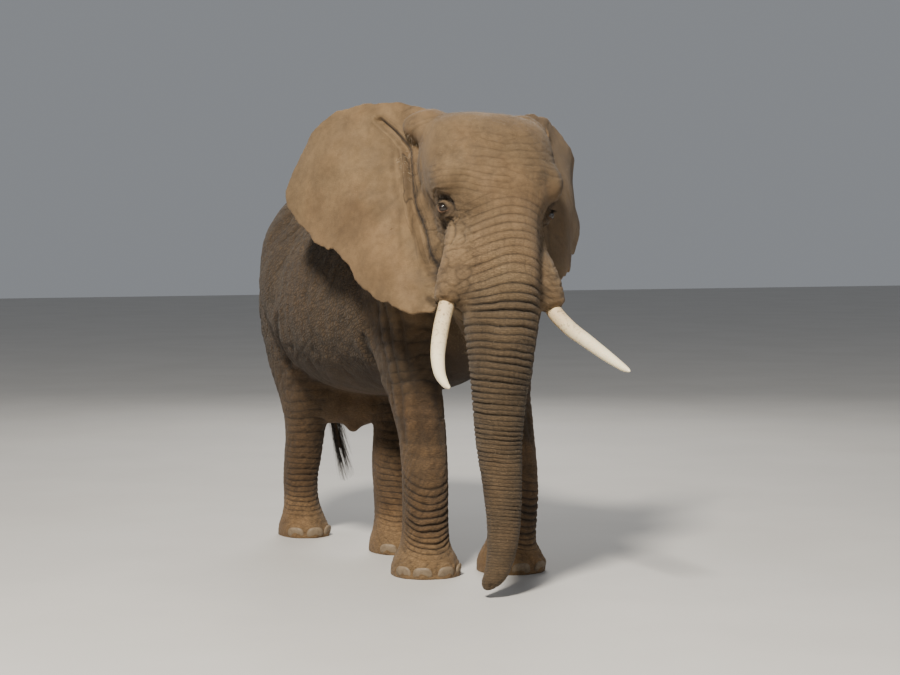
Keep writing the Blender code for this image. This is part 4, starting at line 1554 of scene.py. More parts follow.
    def paint_hollow_shade(self, lay: Lay, survey: Survey, behind: Array, beside: Array) -> None:
        """Paints shade into the gap before each ear, the cheek's pocket and the sheaths' mouths.

        Args:
            lay: lays a tone.
            survey: the hide's points.
            behind: how far behind the gap points lie.
            beside: how much they lie at its breadth.
        """
        head, z = survey.head, survey.points[:, 2]
        # Painted shade in the gap before each ear, in the cheek's pocket and round each tusk at its sheath's
        # mouth.
        open_side = beside * ramp(survey.normals[:, 1], 0.45, 0.10)
        lay((0.018, 0.013, 0.010), bell(behind, 0.013) * open_side * 0.95)
        folded = np.c_[np.abs(head[:, 0]), head[:, 1:]]
        pocket = span(folded, (0.34, -1.61, 2.13), (0.12, 0.065, 0.15))
        lay((0.022, 0.016, 0.012), ramp(pocket, 1.0, 0.4) * 0.9)
        rim = span(folded, self.head.lip(head[:, 2]))
        lay((0.035, 0.026, 0.018), ramp(rim, 0.066, 0.054) * ramp(z, 1.70, 1.76) * ramp(z, 2.0, 1.95) * 0.8)


# ---- finishes ----
class Nodes:
    """A material's node tree, built a node at a time."""

    def __init__(self, name: str) -> None:
        """Starts a Principled material of that name."""
        self.material = bpy.data.materials.new(name)
        self.material.use_nodes = True
        self.tree = self.material.node_tree
        self.shader = self.tree.nodes["Principled BSDF"]
        self.place = self.add("ShaderNodeTexCoord").outputs["Object"]

    def add(self, kind: str, feeds: Feeds | None = None, **settings: object) -> bpy.types.Node:
        """Adds a node.

        Args:
            kind: the node's type.
            feeds: what each input takes, a socket or a value.
            settings: the node's own choices.

        Returns:
            The node.
        """
        node = self.tree.nodes.new(kind)
        for key, value in settings.items():
            setattr(node, key, value)
        self.feed(node, feeds or {})
        return node

    def feed(self, node: bpy.types.Node, feeds: Feeds) -> None:
        """Links or sets a node's inputs."""
        for key, value in feeds.items():
            if isinstance(value, Socket):
                self.tree.links.new(value, node.inputs[key])
            else:
                node.inputs[key].default_value = value

    def value(self, kind: str, *feeds: object) -> Socket:
        """A Math node's result."""
        return self.add("ShaderNodeMath", dict(enumerate(feeds)), operation=kind).outputs[0]

    def times(self, one: object, other: object) -> Socket:
        """Two values multiplied."""
        return self.value("MULTIPLY", one, other)

    def scaled(self, one: object, amount: object, base: object) -> Socket:
        """A value multiplied by an amount, on top of a base."""
        return self.value("MULTIPLY_ADD", one, amount, base)

    def other(self, one: object) -> Socket:
        """What a value lacks of 1."""
        return self.value("SUBTRACT", 1.0, one)

    def carried(self, name: str, output: str = "Fac") -> Socket:
        """A value that the mesh carries on its points."""
        return self.add("ShaderNodeAttribute", attribute_name=name).outputs[output]

    def noise(self, scale: float, detail: float = 3.0, vector: object = None) -> Socket:
        """Cloudy noise from 0 to 1."""
        feeds = {"Vector": vector or self.place, "Scale": scale, "Detail": detail, "Roughness": 0.6}
        return self.add("ShaderNodeTexNoise", feeds).outputs["Fac"]

    def stretched(self, scale: Row, vector: object = None) -> Socket:
        """Places stretched along each axis."""
        feeds = {"Vector": vector or self.place, "Scale": scale}
        return self.add("ShaderNodeMapping", feeds).outputs["Vector"]

    def cracks(self, vector: Socket, width: float) -> Socket:
        """Cells parted by cracks: 0 in a crack, 1 on a cell."""
        feeds = {"Vector": vector, "Scale": 1.0, "Randomness": 0.9}
        edge = self.add("ShaderNodeTexVoronoi", feeds, feature="DISTANCE_TO_EDGE").outputs["Distance"]
        return self.spread(edge, 0.0, width, 0.0, 1.0)

    def spread(self, value: object, low: float, high: float, start: float, end: float) -> Socket:
        """Maps low to high onto start to end, eased and kept within them."""
        feeds = {"Value": value, "From Min": low, "From Max": high, "To Min": start, "To Max": end}
        return self.add("ShaderNodeMapRange", feeds, interpolation_type="SMOOTHSTEP").outputs["Result"]

    def blend(self, share: object, one: object, other: object) -> Socket:
        """Mixes two colours."""
        node = self.add("ShaderNodeMix", {"Factor": share}, data_type="RGBA")
        colours = [item if isinstance(item, Socket) else (*item, 1.0) for item in (one, other)]
        self.feed(node, dict(zip((6, 7), colours)))
        return node.outputs[2]

    def shade(self, colour: object, amount: object) -> Socket:
        """A colour made darker or lighter by an amount."""
        feeds = {0: colour, "Scale": amount}
        return self.add("ShaderNodeVectorMath", feeds, operation="SCALE").outputs["Vector"]

    def tune(self, settings: dict[str, float]) -> None:
        """Sets the shader's own numbers."""
        self.feed(self.shader, settings)

    def dress(self, colour: object, rough: object, height: object = None, deep: float = 0.001) -> None:
        """Feeds the shader.

        Args:
            colour: its colour.
            rough: its roughness.
            height: relief from 0 to 1.
            deep: how deep that relief is, in metres.
        """
        self.feed(self.shader, {"Base Color": colour, "Roughness": rough})
        if height is not None:
            bump = self.add("ShaderNodeBump", {"Height": height, "Distance": deep, "Strength": 1.0})
            self.tree.links.new(bump.outputs["Normal"], self.shader.inputs["Normal"])


@dataclass(frozen=True)
class HideFinish:
    """Dry, dusty, cracked hide, with painted shade in its cracks and along its fold valleys."""

    cell: float = 76.0
    relief: float = 0.0030
    ruddy: Row = (1.12, 0.97, 0.86)

    def make(self) -> Material:
        """Builds the material."""
        nodes = Nodes("elephant_hide")
        coarse, limb, flank = (nodes.carried(name) for name in ("coarse", "limb", "flank"))
        net, fine = self.crack(nodes, limb, flank)
        turns, share = nodes.carried("ring_count"), nodes.carried("ring_share")
        twice = nodes.value("ABSOLUTE", nodes.value("SINE", nodes.times(turns, 2 * math.pi)))
        once = nodes.value("ABSOLUTE", nodes.value("SINE", nodes.times(turns, math.pi)))
        height = nodes.times(net, nodes.scaled(flank, 0.75, 0.55))
        height = nodes.scaled(fine, 0.20, height)
        height = nodes.scaled(nodes.noise(260.0, 2.0), 0.25, height)
        height = nodes.scaled(nodes.times(nodes.value("POWER", twice, 0.5), share), 0.45, height)
        height = nodes.times(height, coarse)
        # Painted shade in the cracks, deeper on the flanks and limbs.
        dark = nodes.times(nodes.other(net), coarse)
        depth = nodes.scaled(limb, -0.14, nodes.scaled(flank, -0.34, -0.15))
        # Painted shade along the valleys of the ring folds, and along the grooves their bump makes.
        valley = nodes.times(nodes.spread(once, 0.0, nodes.carried("ring_shade_width"), 1.0, 0.0), share)
        groove_shade = nodes.times(nodes.spread(twice, 0.0, 0.45, 1.0, 0.0), share)
        tone = nodes.spread(nodes.noise(3.2, 5.0), 0.25, 0.75, 0.80, 1.20)
        for part in (
            nodes.spread(nodes.noise(23.0, 4.0), 0.25, 0.75, 0.88, 1.12), nodes.scaled(dark, depth, 1.0),
            nodes.scaled(valley, -0.66, 1.0), nodes.scaled(groove_shade, -0.24, 1.0),
            # a light painted shade in the fine cracks
            nodes.spread(fine, 0.0, 1.0, 0.90, 1.03),
        ):
            tone = nodes.times(tone, part)
        warm = nodes.spread(nodes.noise(1.7, 4.0), 0.42, 0.62, 0.0, 0.30)
        tone_with_painted_shade = nodes.carried("tone_with_painted_shade", "Color")
        ruddy = nodes.add("ShaderNodeVectorMath", {0: tone_with_painted_shade, 1: self.ruddy}, operation="MULTIPLY")
        colour = nodes.shade(nodes.blend(warm, tone_with_painted_shade, ruddy.outputs[0]), tone)
        nodes.dress(colour, nodes.spread(nodes.noise(9.0), 0.3, 0.7, 0.74, 0.90), height, self.relief)
        nodes.tune({"Specular IOR Level": 0.28, "Sheen Weight": 0.06, "Sheen Roughness": 0.5})
        return nodes.material

    def crack(self, nodes: Nodes, limb: Socket, flank: Socket) -> tuple[Socket, Socket]:
        """Nets of cracks: cells on the body, level strips on limbs, slanting drapes on flanks.

        Args:
            nodes: the material's tree.
            limb: how much a place belongs to legs and trunk.
            flank: how much it belongs to the flanks.

        Returns:
            The net, and a finer net all over.
        """
        drift = nodes.add("ShaderNodeTexNoise", {"Vector": nodes.place, "Scale": 14.0, "Detail": 2.0})
        wander = nodes.shade(drift.outputs["Color"], 0.035)
        place = nodes.add("ShaderNodeVectorMath", {0: nodes.place, 1: wander}, operation="ADD").outputs[0]
        cell = self.cell
        mosaic = nodes.cracks(nodes.stretched((cell, cell, cell * 1.25), place), 0.16)
        level = nodes.cracks(nodes.stretched((cell * 0.38, cell * 0.38, cell * 1.3), place), 0.20)
        turn = {"Vector": place, "Rotation": (math.radians(34), 0.0, 0.0)}
        swung = nodes.add("ShaderNodeMapping", turn).outputs["Vector"]
        drape = nodes.cracks(nodes.stretched((cell * 0.40, cell * 0.28, cell * 0.70), swung), 0.24)
        net = nodes.value("ADD", nodes.times(mosaic, nodes.other(limb)), nodes.times(level, limb))
        net = nodes.value("ADD", nodes.times(net, nodes.other(flank)), nodes.times(drape, flank))
        return net, nodes.cracks(nodes.stretched((cell * 2.6, cell * 2.6, cell * 3.2), place), 0.22)


@dataclass(frozen=True)
class IvoryFinish:
    """Cream ivory, stained and checked towards the lip, polished at the tip."""

    cream: Row = (0.92, 0.82, 0.56)
    stain: Row = (0.50, 0.34, 0.17)

    def make(self) -> Material:
        """Builds the material."""
        nodes = Nodes("tusk_ivory")
        along = nodes.carried("along")
        strand = nodes.carried("strand", "Vector")
        checks = nodes.noise(1.0, 5.0, nodes.stretched((16.0, 16.0, 3.0), strand))
        line = nodes.spread(checks, 0.47, 0.53, 0.0, 1.0)
        thin = nodes.times(line, nodes.other(line))
        base = nodes.spread(nodes.scaled(nodes.noise(14.0), 0.30, along), 0.30, 0.72, 1.0, 0.0)
        specks = nodes.spread(nodes.noise(48.0, 3.0), 0.54, 0.66, 0.0, 0.85)
        cloud = nodes.spread(nodes.noise(7.0, 4.0), 0.3, 0.7, 0.0, 0.5)
        cloud = nodes.blend(cloud, self.cream, (0.78, 0.64, 0.42))
        colour = nodes.blend(nodes.times(base, 0.70), cloud, self.stain)
        colour = nodes.blend(nodes.times(specks, base), colour, (0.20, 0.125, 0.065))
        colour = nodes.blend(nodes.times(thin, 0.8), colour, (0.36, 0.25, 0.14))
        rough = nodes.spread(along, 0.2, 0.9, 0.46, 0.26)
        height = nodes.value("SUBTRACT", nodes.noise(40.0, 4.0), nodes.times(thin, 0.8))
        nodes.dress(colour, rough, height, 0.0006)
        nodes.tune({"Subsurface Weight": 0.06, "Subsurface Scale": 0.01})
        return nodes.material


@dataclass(frozen=True)
class EyeFinish:
    """A wet amber-brown eye with a dark pupil, told by distance from the pupil."""

    pupil: Row

    def make(self, name: str) -> Material:
        """Builds the material of that name."""
        nodes = Nodes(name)
        feeds = {0: nodes.place, 1: self.pupil}
        reach = nodes.add("ShaderNodeVectorMath", feeds, operation="DISTANCE").outputs["Value"]
        streaks = nodes.spread(nodes.noise(420.0, 4.0), 0.3, 0.7, 0.0, 1.0)
        iris = nodes.blend(streaks, (0.008, 0.005, 0.003), (0.026, 0.013, 0.007))
        colour = nodes.blend(nodes.spread(reach, 0.0062, 0.0078, 0.0, 1.0), (0.004, 0.003, 0.003), iris)
        colour = nodes.blend(nodes.spread(reach, 0.0140, 0.0170, 0.0, 1.0), colour, (0.010, 0.007, 0.005))
        veins = nodes.blend(nodes.noise(160.0, 4.0), (0.012, 0.008, 0.006), (0.036, 0.026, 0.020))
        colour = nodes.blend(nodes.spread(reach, 0.0200, 0.0270, 0.0, 1.0), colour, veins)
        nodes.dress(colour, 0.30)
        nodes.tune({"Coat Weight": 0.55, "Coat Roughness": 0.04, "Coat IOR": 1.40})
        return nodes.material


@dataclass(frozen=True)
class NailFinish:
    """Horn, pale and dusty, ridged from root to edge."""

    horn: Row = (0.205, 0.150, 0.092)

    def make(self) -> Material:
        """Builds the material."""
        nodes = Nodes("toenail_horn")
        strand = nodes.carried("strand", "Vector")
        ridge = nodes.noise(1.0, 4.0, nodes.stretched((260.0, 260.0, 9.0), strand))
        colour = nodes.blend(nodes.spread(ridge, 0.3, 0.7, 0.0, 0.6), self.horn, (0.150, 0.106, 0.063))
        dust = nodes.spread(nodes.noise(38.0, 4.0), 0.45, 0.65, 0.0, 0.6)
        colour = nodes.blend(dust, colour, (0.115, 0.080, 0.048))
        nodes.dress(colour, nodes.spread(ridge, 0.3, 0.7, 0.5, 0.72), ridge, 0.0009)
        return nodes.material


@dataclass(frozen=True)
class HairFinish:
    """Coarse hair, lighter in places."""

    name: str
    dark: Row
    light: Row

    def make(self) -> Material:
        """Builds the material."""
        nodes = Nodes(self.name)
        colour = nodes.blend(nodes.spread(nodes.noise(46.0, 3.0), 0.3, 0.7, 0.0, 1.0), self.dark, self.light)
        nodes.dress(colour, nodes.spread(nodes.noise(90.0), 0.3, 0.7, 0.42, 0.62))
        return nodes.material


@dataclass(frozen=True)
class FloorFinish:
    """A plain pale floor."""

    pale: Row = (0.50, 0.485, 0.46)

    def make(self) -> Material:
        """Builds the material."""
        nodes = Nodes("studio_floor")
        cloud = nodes.spread(nodes.noise(0.6, 4.0), 0.3, 0.7, 0.0, 1.0)
        nodes.dress(nodes.blend(cloud, self.pale, (0.47, 0.455, 0.43)), 0.7)
        return nodes.material


# ---- pieces of their own ----
class Fitter:
    """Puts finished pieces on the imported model."""

    def __init__(self, lids: Lids) -> None:
        """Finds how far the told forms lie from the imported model."""
        low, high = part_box("left_eye")
        self.shift = (low + high) / 2 - POSE.matrix() @ Vector(lids.centre)

    def fit(self, made: Object, finish: Finish, material: Material, *nodes: str) -> None:
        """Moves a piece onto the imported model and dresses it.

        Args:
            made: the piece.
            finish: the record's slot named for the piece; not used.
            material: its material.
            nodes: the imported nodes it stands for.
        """
        made.data.transform(Matrix.Translation(self.shift))
        made.data.materials.clear()
        made.data.materials.append(material)
        made.data.shade_smooth()
        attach(made, "root")
        if nodes:
            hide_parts(*nodes)
        log.info("%s: %d faces", made.name, len(made.data.polygons))


@dataclass(frozen=True)
class Tusk:
    """A tusk along its bent line."""

    side: Side
    line: Rows
    sides: int = 40

    def build(self) -> Object:
        """Shapes the tusk in the head's pose and marks the run of its grain."""
        clay = Clay(self.sides)
        made = clay.pipe(self.line, 10)
        bmesh.ops.recalc_face_normals(clay.body, faces=clay.body.faces)
        clay.move(POSE.matrix(), made)
        tusk = clay.lift(f"{self.side.word}_tusk_ivory")
        count = len(tusk.data.vertices)
        ring, corner = np.divmod(np.arange(count), self.sides)
        along = ring / ring.max()
        around = corner / self.sides * 2 * math.pi
        strand = np.c_[np.cos(around), np.sin(around), along * 3]
        store(tusk, "along", "FLOAT", along)
        store(tusk, "strand", "FLOAT_VECTOR", strand)
        return tusk


def tusks() -> list[Tusk]:
    """Both tusks with their lines."""
    left = (
        (0.310, -1.80, 2.12, 0.046), (0.355, -1.92, 1.90, 0.050), (0.415, -2.09, 1.775, 0.0485),
        (0.480, -2.28, 1.690, 0.044), (0.543, -2.47, 1.61, 0.036), (0.590, -2.63, 1.55, 0.024),
        (0.606, -2.69, 1.533, 0.013), (0.611, -2.71, 1.527, 0.003),
    )
    right = (
        (-0.310, -1.80, 2.12, 0.046), (-0.357, -1.92, 1.90, 0.051), (-0.428, -2.05, 1.73, 0.051),
        (-0.492, -2.21, 1.57, 0.046), (-0.528, -2.38, 1.455, 0.037), (-0.538, -2.53, 1.395, 0.024),
        (-0.536, -2.60, 1.378, 0.013), (-0.535, -2.62, 1.374, 0.003),
    )
    return [Tusk(Side.LEFT, left), Tusk(Side.RIGHT, right)]


@dataclass(frozen=True)
class Eyeball:
    """An eyeball with its cornea, turned the way the eye looks."""

    side: Side
    lids: Lids
    gaze: Row = (0.84, -0.53, -0.08)
    cornea: float = 0.80
    bulge: float = 0.085

    def look(self) -> Vector:
        """The way the eye looks in the straight head."""
        return Vector((self.side.value * self.gaze[0], *self.gaze[1:])).normalized()

    def build(self) -> Object:
        """Shapes the eyeball in the head's pose."""
        clay = Clay()
        size = self.lids.radius
        made = bmesh.ops.create_uvsphere(clay.body, u_segments=64, v_segments=48, radius=size)["verts"]
        for vert in made:
            tilt = vert.co.normalized().z
            if tilt > self.cornea:
                vert.co *= 1 + self.bulge * ((tilt - self.cornea) / (1 - self.cornea)) ** 0.8
        turn = self.look().to_track_quat("Z", "Y").to_matrix().to_4x4()
        place = Matrix.Translation(Vector(self.lids.middle(self.side)))
        clay.move(POSE.matrix() @ place @ turn, made)
        return clay.lift(f"{self.side.word}_eyeball")

    def pupil(self, shift: Vector) -> Row:
        """Where the pupil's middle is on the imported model."""
        spot = Vector(self.lids.middle(self.side)) + self.look() * self.lids.radius * 1.06
        return tuple(POSE.matrix() @ spot + shift)


@dataclass(frozen=True)
class Toenails:
    """A foot's nails, each a domed plate let into its toe."""

    leg: Leg
    wide: float = 0.066
    tall: float = 0.041
    thick: float = 0.020
    square: float = 0.72
    cut: float = -0.92
    lean: float = 8.0

    def build(self) -> Object:
        """Shapes the nails and marks the run of their ridges."""
        clay = Clay()
        strands = []
        for spot, a in self.leg.toe_spots(0.006, 0.044):
            made = bmesh.ops.create_uvsphere(clay.body, u_segments=32, v_segments=24, radius=1.0)["verts"]
            for vert in made:
                x, y, z = vert.co
                x, z = (math.copysign(abs(value) ** self.square, value) for value in (x, z))
                z = max(z, self.cut)
                flare = 1.0 - 0.10 * z
                vert.co = (x * self.wide * flare, (y - 0.18 * z) * self.thick, z * self.tall)
                strands.append((x * self.wide, 0.0, z))
            turn = Matrix.Rotation(a, 4, "Z") @ Matrix.Rotation(math.radians(self.lean), 4, "X")
            clay.move(Matrix.Translation(spot) @ turn, made)
        made = clay.lift(f"{self.leg.side.word}_{self.leg.pair.value}_toenails")
        store(made, "strand", "FLOAT_VECTOR", np.array(strands))
        return made


class Hairs:
    """Hairs of one kind, each a thin closed spike, joined in one mesh."""

    def __init__(self, name: str, seed: int) -> None:
        """Starts with no hairs.

        Args:
            name: the piece's name.
            seed: draws how the hairs differ.
        """
        self.name = name
        self.chance = np.random.default_rng(seed)
        self.spike, self.faces = self.one()
        self.points: list[Array] = []
        self.roots: list[Array] = []

    @staticmethod
    def one() -> tuple[Array, list[tuple[int, ...]]]:
        """A closed spike of unit length and width."""
        shape = bmesh.new()
        lift = Matrix.Translation((0, 0, 0.5))
        bmesh.ops.create_cone(
            shape, cap_ends=True, segments=3, radius1=1.0, radius2=0.12, depth=1.0, matrix=lift)
        for height in (0.2, 0.4, 0.6, 0.8):
            everything = shape.verts[:] + shape.edges[:] + shape.faces[:]
            bmesh.ops.bisect_plane(shape, geom=everything, plane_co=(0, 0, height), plane_no=(0, 0, 1))
        shape.verts.index_update()
        points = np.array([vert.co[:] for vert in shape.verts])
        faces = [tuple(vert.index for vert in face.verts) for face in shape.faces]
        shape.free()
        return points, faces

    def grow(self, root: Array, way: Array, droop: Array, length: Array, width: float) -> None:
        """Adds hairs.

        Args:
            root: where each hair starts.
            way: the way each sets out.
            droop: how far each is bent at its tip, as a share of its length.
            length: how long each is.
            width: how thick they are at the root.
        """
        way = way / np.linalg.norm(way, axis=1)[:, None]
        across = np.cross(way, (0.31, 0.52, 0.79))
        across /= np.linalg.norm(across, axis=1)[:, None]
        deep = np.cross(way, across)
        x, y, z = self.spike.T
        run = length[:, None, None] * (way[:, None] * z[:, None] + droop[:, None] * z[:, None] ** 2)
        ring = (across[:, None] * x[:, None] + deep[:, None] * y[:, None]) * width
        self.points.append(root[:, None] + run + ring)
        self.roots.append(root)

    def build(self) -> Object:
        """Joins the hairs into one object, each with its patch on the hide's unwrap."""
        points, roots = np.concatenate(self.points), np.concatenate(self.roots)
        count, size = points.shape[:2]
        starts = range(0, count * size, size)
        faces = [tuple(start + corner for corner in face) for start in starts for face in self.faces]
        mesh = bpy.data.meshes.new(self.name)
        mesh.from_pydata(points.reshape(-1, 3).tolist(), [], faces)
        turn = np.arctan2(roots[:, 0], roots[:, 2] - 1.7) / (2 * math.pi) + 0.5
        patch = np.c_[turn, (roots[:, 1] + 2.8) / 4.6]
        own = np.c_[self.spike[:, 0] * 0.0015, (self.spike[:, 2] - 0.5) * 0.003]
        places = (patch[:, None] + own).reshape(-1, 2)
        layer = mesh.uv_layers.new(name="OFBake")
        corners = np.empty(len(mesh.loops), np.int32)
        mesh.loops.foreach_get("vertex_index", corners)
        layer.data.foreach_set("uv", places[corners].astype(np.float32).ravel())
        return place_object(self.name, mesh)


class Coat:
    """The elephant's few hairs: tassel, lashes, ear tufts and bristles."""

    def __init__(self, hide: Object, tail: Tail, lids: Lids) -> None:
        """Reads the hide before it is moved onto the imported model."""
        skin = Skin(hide)
        corners = np.empty(len(hide.data.loops), np.int32)
        hide.data.loops.foreach_get("vertex_index", corners)
        self.triangles = skin.points[corners.reshape(-1, 3)]
        a, b, c = self.triangles.transpose(1, 0, 2)
        cross = np.cross(b - a, c - a)
        self.area = np.linalg.norm(cross, axis=1) / 2
        self.facing = cross / np.maximum(self.area[:, None] * 2, 1e-12)
        self.middles = (a + b + c) / 3
        self.head = POSE.straighten(self.middles)
        self.tail, self.lids = tail, lids

    def scatter(self, hairs: Hairs, share: Array, count: int) -> tuple[Array, Array]:
        """Draws places on the hide.

        Args:
            hairs: whose chance is drawn from.
            share: how thick they stand on each triangle.
            count: how many are drawn.

        Returns:
            The places and the way the hide faces there.
        """
        weight = share * self.area
        picked = hairs.chance.choice(len(weight), count, p=weight / weight.sum())
        u, v = hairs.chance.random((2, count))
        flip = u + v > 1
        u, v = np.where(flip, 1 - u, u), np.where(flip, 1 - v, v)
        a, b, c = self.triangles[picked].transpose(1, 0, 2)
        return a + (b - a) * u[:, None] + (c - a) * v[:, None], self.facing[picked]

    def sprout(self, hairs: Hairs, share: Array, count: int, lean: Row, stray: float, droop: Row,
               length: Row, width: float) -> None:
        """Grows hairs out of the hide.

        Args:
            hairs: the kind that is grown.
            share: how thick they stand on each triangle.
            count: how many are grown.
            lean: which way they lean from the way the hide faces.
            stray: how far each strays.
            droop: how far each is bent at its tip, as a share of its length.
            length: the shortest and the longest.
            width: how thick they are at the root.
        """
        root, facing = self.scatter(hairs, share, count)
        way = facing + np.array(lean) + hairs.chance.normal(0, stray, root.shape)
        long = hairs.chance.uniform(*length, len(root))
        hairs.grow(root, way, np.tile(droop, (len(root), 1)), long, width)

    def tassel(self) -> Object:
        """The dark tassel along the tail's end."""
        hairs = Hairs("tail_tassel", 21)
        count = 420
        chance = hairs.chance
        z = 0.64 + 0.44 * chance.random(count) ** 1.2
        shaft = Shaft(self.tail.line)
        turn = chance.normal(0, 0.35, count) + np.where(chance.random(count) < 0.5, 0.0, math.pi)
        half = np.interp(z, shaft.z, shaft.half) * 0.8
        root = np.c_[np.interp(z, shaft.z, shaft.x) + half * np.cos(turn),
                     np.interp(z, shaft.z, shaft.y) + half * np.sin(turn), z]
        spread = chance.normal(0, 0.07, (count, 2))
        way = np.c_[np.cos(turn) * 0.20 + 0.27 + spread[:, 0],
                    np.sin(turn) * 0.34 - 0.06 + spread[:, 1], -np.ones(count)]
        droop = np.c_[-np.cos(turn) * 0.12 + 0.03, -way[:, 1] * 0.45, -0.10 * np.ones(count)]
        length = np.minimum(0.16 + 0.22 * chance.random(count), (z - 0.36) * 0.93)
        hairs.grow(root, way, droop, length, 0.0016)
        return hairs.build()

    def lashes(self) -> Object:
        """Long lashes on the upper lids, and shorter ones below."""
        hairs = Hairs("eyelashes", 22)
        pose = np.array(POSE.matrix())[:3, :3]
        for side in Side:
            axes = self.lids.axes(side)
            for sign, count, long in ((1, 90, 0.046), (-1, 16, 0.014)):
                front = np.linspace(-0.029, 0.029, count) + hairs.chance.normal(0, 0.0008, count)
                tall = (self.lids.upper if sign > 0 else self.lids.lower) + 0.0025
                up = sign * tall * (1 - (front / self.lids.width) ** 2)
                out = np.sqrt(np.maximum((self.lids.radius + 0.005) ** 2 - front ** 2 - up ** 2, 1e-6))
                spot = np.c_[front, up, out] @ axes + self.lids.middle(side)
                way = np.c_[front * 9 + hairs.chance.normal(0, 0.12, count),
                            -0.30 * sign + hairs.chance.normal(0, 0.10, count), np.ones(count)]
                droop = np.c_[np.zeros(count), 0.10 * sign + 0 * front, -0.25 + 0 * front]
                long_each = long * hairs.chance.uniform(0.75, 1.1, count)
                place = np.array([POSE.matrix() @ Vector(row) for row in spot])
                hairs.grow(place, way @ axes @ pose.T, droop @ axes @ pose.T, long_each, 0.0007)
            front, up, _ = ((self.head - self.lids.middle(side)) @ axes.T).T
            share = bell(np.hypot(front / 1.22, up), 0.010, 0.082) * ramp(up, 0.03, 0.06)
            share *= span(self.head, self.lids.middle(side)) < 0.13
            self.sprout(hairs, share, 80, (0.0, -0.3, -0.5), 0.2, (0.0, -0.1, -0.30), (0.016, 0.034), 0.0008)
        return hairs.build()

    def ear_tufts(self) -> Object:
        """Pale tufts in the fold before each ear."""
        hairs = Hairs("ear_tufts", 23)
        out = np.abs(self.head[:, 0])
        reach = span(np.c_[out, self.head[:, 1:]], (0.475, -1.235, 2.86), (0.05, 0.06, 0.11))
        share = np.exp(-reach ** 2) + 1e-9
        share *= self.facing[:, 1] < 0.2
        self.sprout(hairs, share, 110, (0.0, -0.4, -0.5), 0.25, (0.0, -0.1, -0.35), (0.020, 0.045), 0.0006)
        return hairs.build()

    def bristles(self) -> Object:
        """Sparse bristles over crown, brow, chin, trunk and back."""
        hairs = Hairs("bristles", 24)
        z = self.middles[:, 2]
        up = np.clip(self.facing[:, 2], 0, 1)
        crown = ramp(self.head[:, 2], 2.75, 3.05) * (self.head[:, 1] < -1.0) * (0.3 + up)
        chin = 5.0 * ramp(self.head[:, 2], 1.80, 1.62) * (self.head[:, 1] > -1.75) * (self.head[:, 1] < -1.2)
        chin *= (np.abs(self.head[:, 0]) < 0.16) * (z > 1.35)
        trunk = 0.35 * (self.head[:, 1] < -1.7) * ramp(self.head[:, 2], 2.6, 1.6)
        back = 0.35 * up * ramp(z, 2.5, 2.7)
        share = crown + chin + trunk + back + 1e-6
        self.sprout(
            hairs, share, 3200, (0.0, 0.12, -0.05), 0.28, (0.0, 0.05, -0.22), (0.010, 0.026), 0.00045)
        return hairs.build()


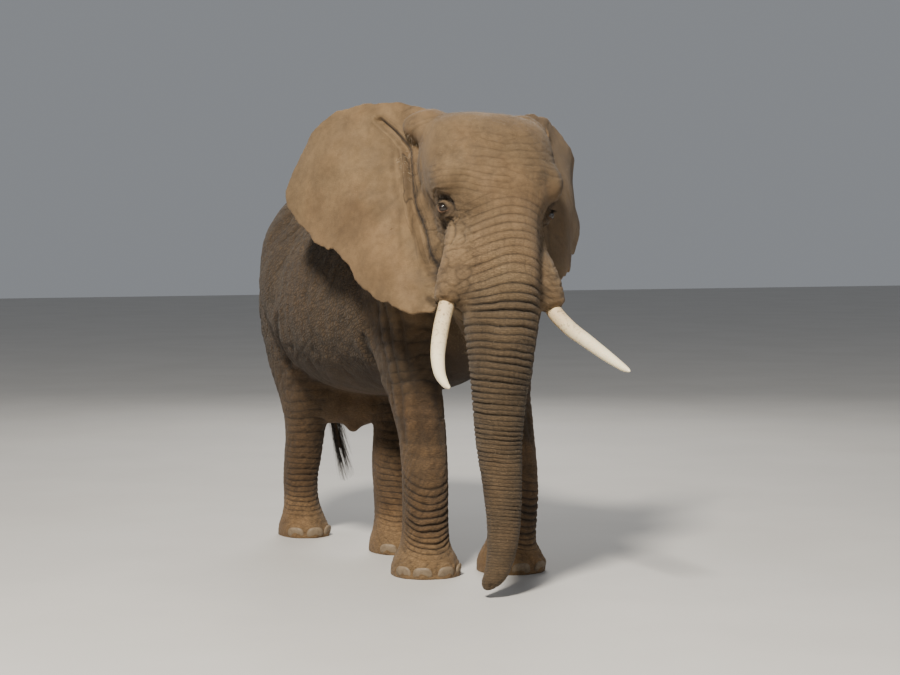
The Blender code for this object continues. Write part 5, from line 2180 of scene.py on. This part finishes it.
@dataclass(frozen=True)
class Studio:
    """Floor, lights and camera."""

    stand: Row = (-6.574, -13.80, 2.358)
    look: Row = (0.451, 0.893, -0.0507)
    lens: float = 83.1
    sky: Row = (0.80, 0.84, 0.90, 1.0)
    sky_strength: float = 0.30
    # name, place, aim, width, watts, colour
    lamps: Sequence[tuple[str, Row, Row, float, float, Row]] = (
        ("key", (-7.8, -8.2, 12.5), (0.0, -0.4, 1.6), 2.4, 5400.0, (1.0, 0.94, 0.84)),
        ("fill", (8.0, -12.0, 5.0), (0.0, 0.0, 1.6), 7.0, 200.0, (0.94, 0.96, 1.0)),
        ("back", (5.0, 10.0, 8.0), (0.0, 0.5, 1.8), 6.0, 700.0, (1.0, 0.97, 0.92)),
    )

    @staticmethod
    def light(name: str, spot: Row, aim: Row, size: float, power: float, tint: Row) -> None:
        """Hangs a soft light.

        Args:
            name: its name.
            spot: where it hangs.
            aim: what it points at.
            size: how wide it is.
            power: its watts.
            tint: its colour.
        """
        lamp = bpy.data.lights.new(name, "AREA")
        lamp.shape, lamp.size, lamp.energy, lamp.color = "DISK", size, power, tint
        made = place_object(name, lamp)
        made.location = spot
        made.rotation_euler = (Vector(aim) - Vector(spot)).to_track_quat("-Z", "Y").to_euler()

    def build(self, shift: Vector) -> None:
        """Lays the floor, hangs the lights and stands the camera."""
        shape = bmesh.new()
        bmesh.ops.create_grid(shape, x_segments=8, y_segments=8, size=60.0)
        mesh = bpy.data.meshes.new("floor")
        shape.to_mesh(mesh)
        shape.free()
        mesh.materials.append(FloorFinish().make())
        floor = place_object("floor", mesh)
        for lamp in self.lamps:
            self.light(*lamp)
        world = bpy.data.worlds.new("studio")
        world.use_nodes = True
        sky = world.node_tree.nodes["Background"].inputs
        sky["Color"].default_value, sky["Strength"].default_value = self.sky, self.sky_strength
        bpy.context.scene.world = world
        lens = bpy.data.cameras.new("camera")
        lens.lens, lens.sensor_width = self.lens, 36.0
        camera = place_object("camera", lens)
        camera.location = Vector(self.stand) + shift
        camera.rotation_euler = Vector(self.look).to_track_quat("-Z", "Y").to_euler()
        bpy.context.scene.camera = camera


def main() -> None:
    """Builds the elephant and its studio, a sub-assembly at a time."""
    logging.basicConfig(level=logging.INFO, format="%(relativeCreated)d %(message)s")
    lids, tail = Lids(), Tail()
    fitter = Fitter(lids)
    Studio().build(fitter.shift)
    ears = (Ear(Side.LEFT, 0.25, 0.17, 0.045), Ear(Side.RIGHT, notch=0.05))
    hide = Hide(Torso(), Head(), ears, legs(), tail, lids)
    skin = hide.build()
    hide.mark(skin)
    coat = Coat(skin, tail, lids)
    hairs = [coat.tassel(), coat.lashes(), coat.ear_tufts(), coat.bristles()]
    flesh = [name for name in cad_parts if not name.endswith(("_tusk", "_eye"))]
    fitter.fit(skin, Finish.HIDE, HideFinish().make(), *flesh)
    ivory, horn = IvoryFinish().make(), NailFinish().make()
    for tusk in tusks():
        fitter.fit(tusk.build(), Finish.IVORY, ivory, f"{tusk.side.word}_tusk")
    for side in Side:
        eye = Eyeball(side, lids)
        material = EyeFinish(eye.pupil(fitter.shift)).make(f"{side.word}_eye_wet")
        fitter.fit(eye.build(), Finish.EYE, material, f"{side.word}_eye")
    for leg in hide.legs:
        fitter.fit(Toenails(leg).build(), Finish.HIDE, horn)
    dark = HairFinish("dark_hair", (0.022, 0.015, 0.010), (0.070, 0.048, 0.030)).make()
    pale = HairFinish("pale_hair", (0.34, 0.28, 0.20), (0.62, 0.54, 0.42)).make()
    bristle = HairFinish("bristle_hair", (0.16, 0.12, 0.075), (0.34, 0.26, 0.17)).make()
    for made, material in zip(hairs, (dark, dark, pale, bristle)):
        fitter.fit(made, Finish.HIDE, material)


if __name__ == "__main__":
    main()
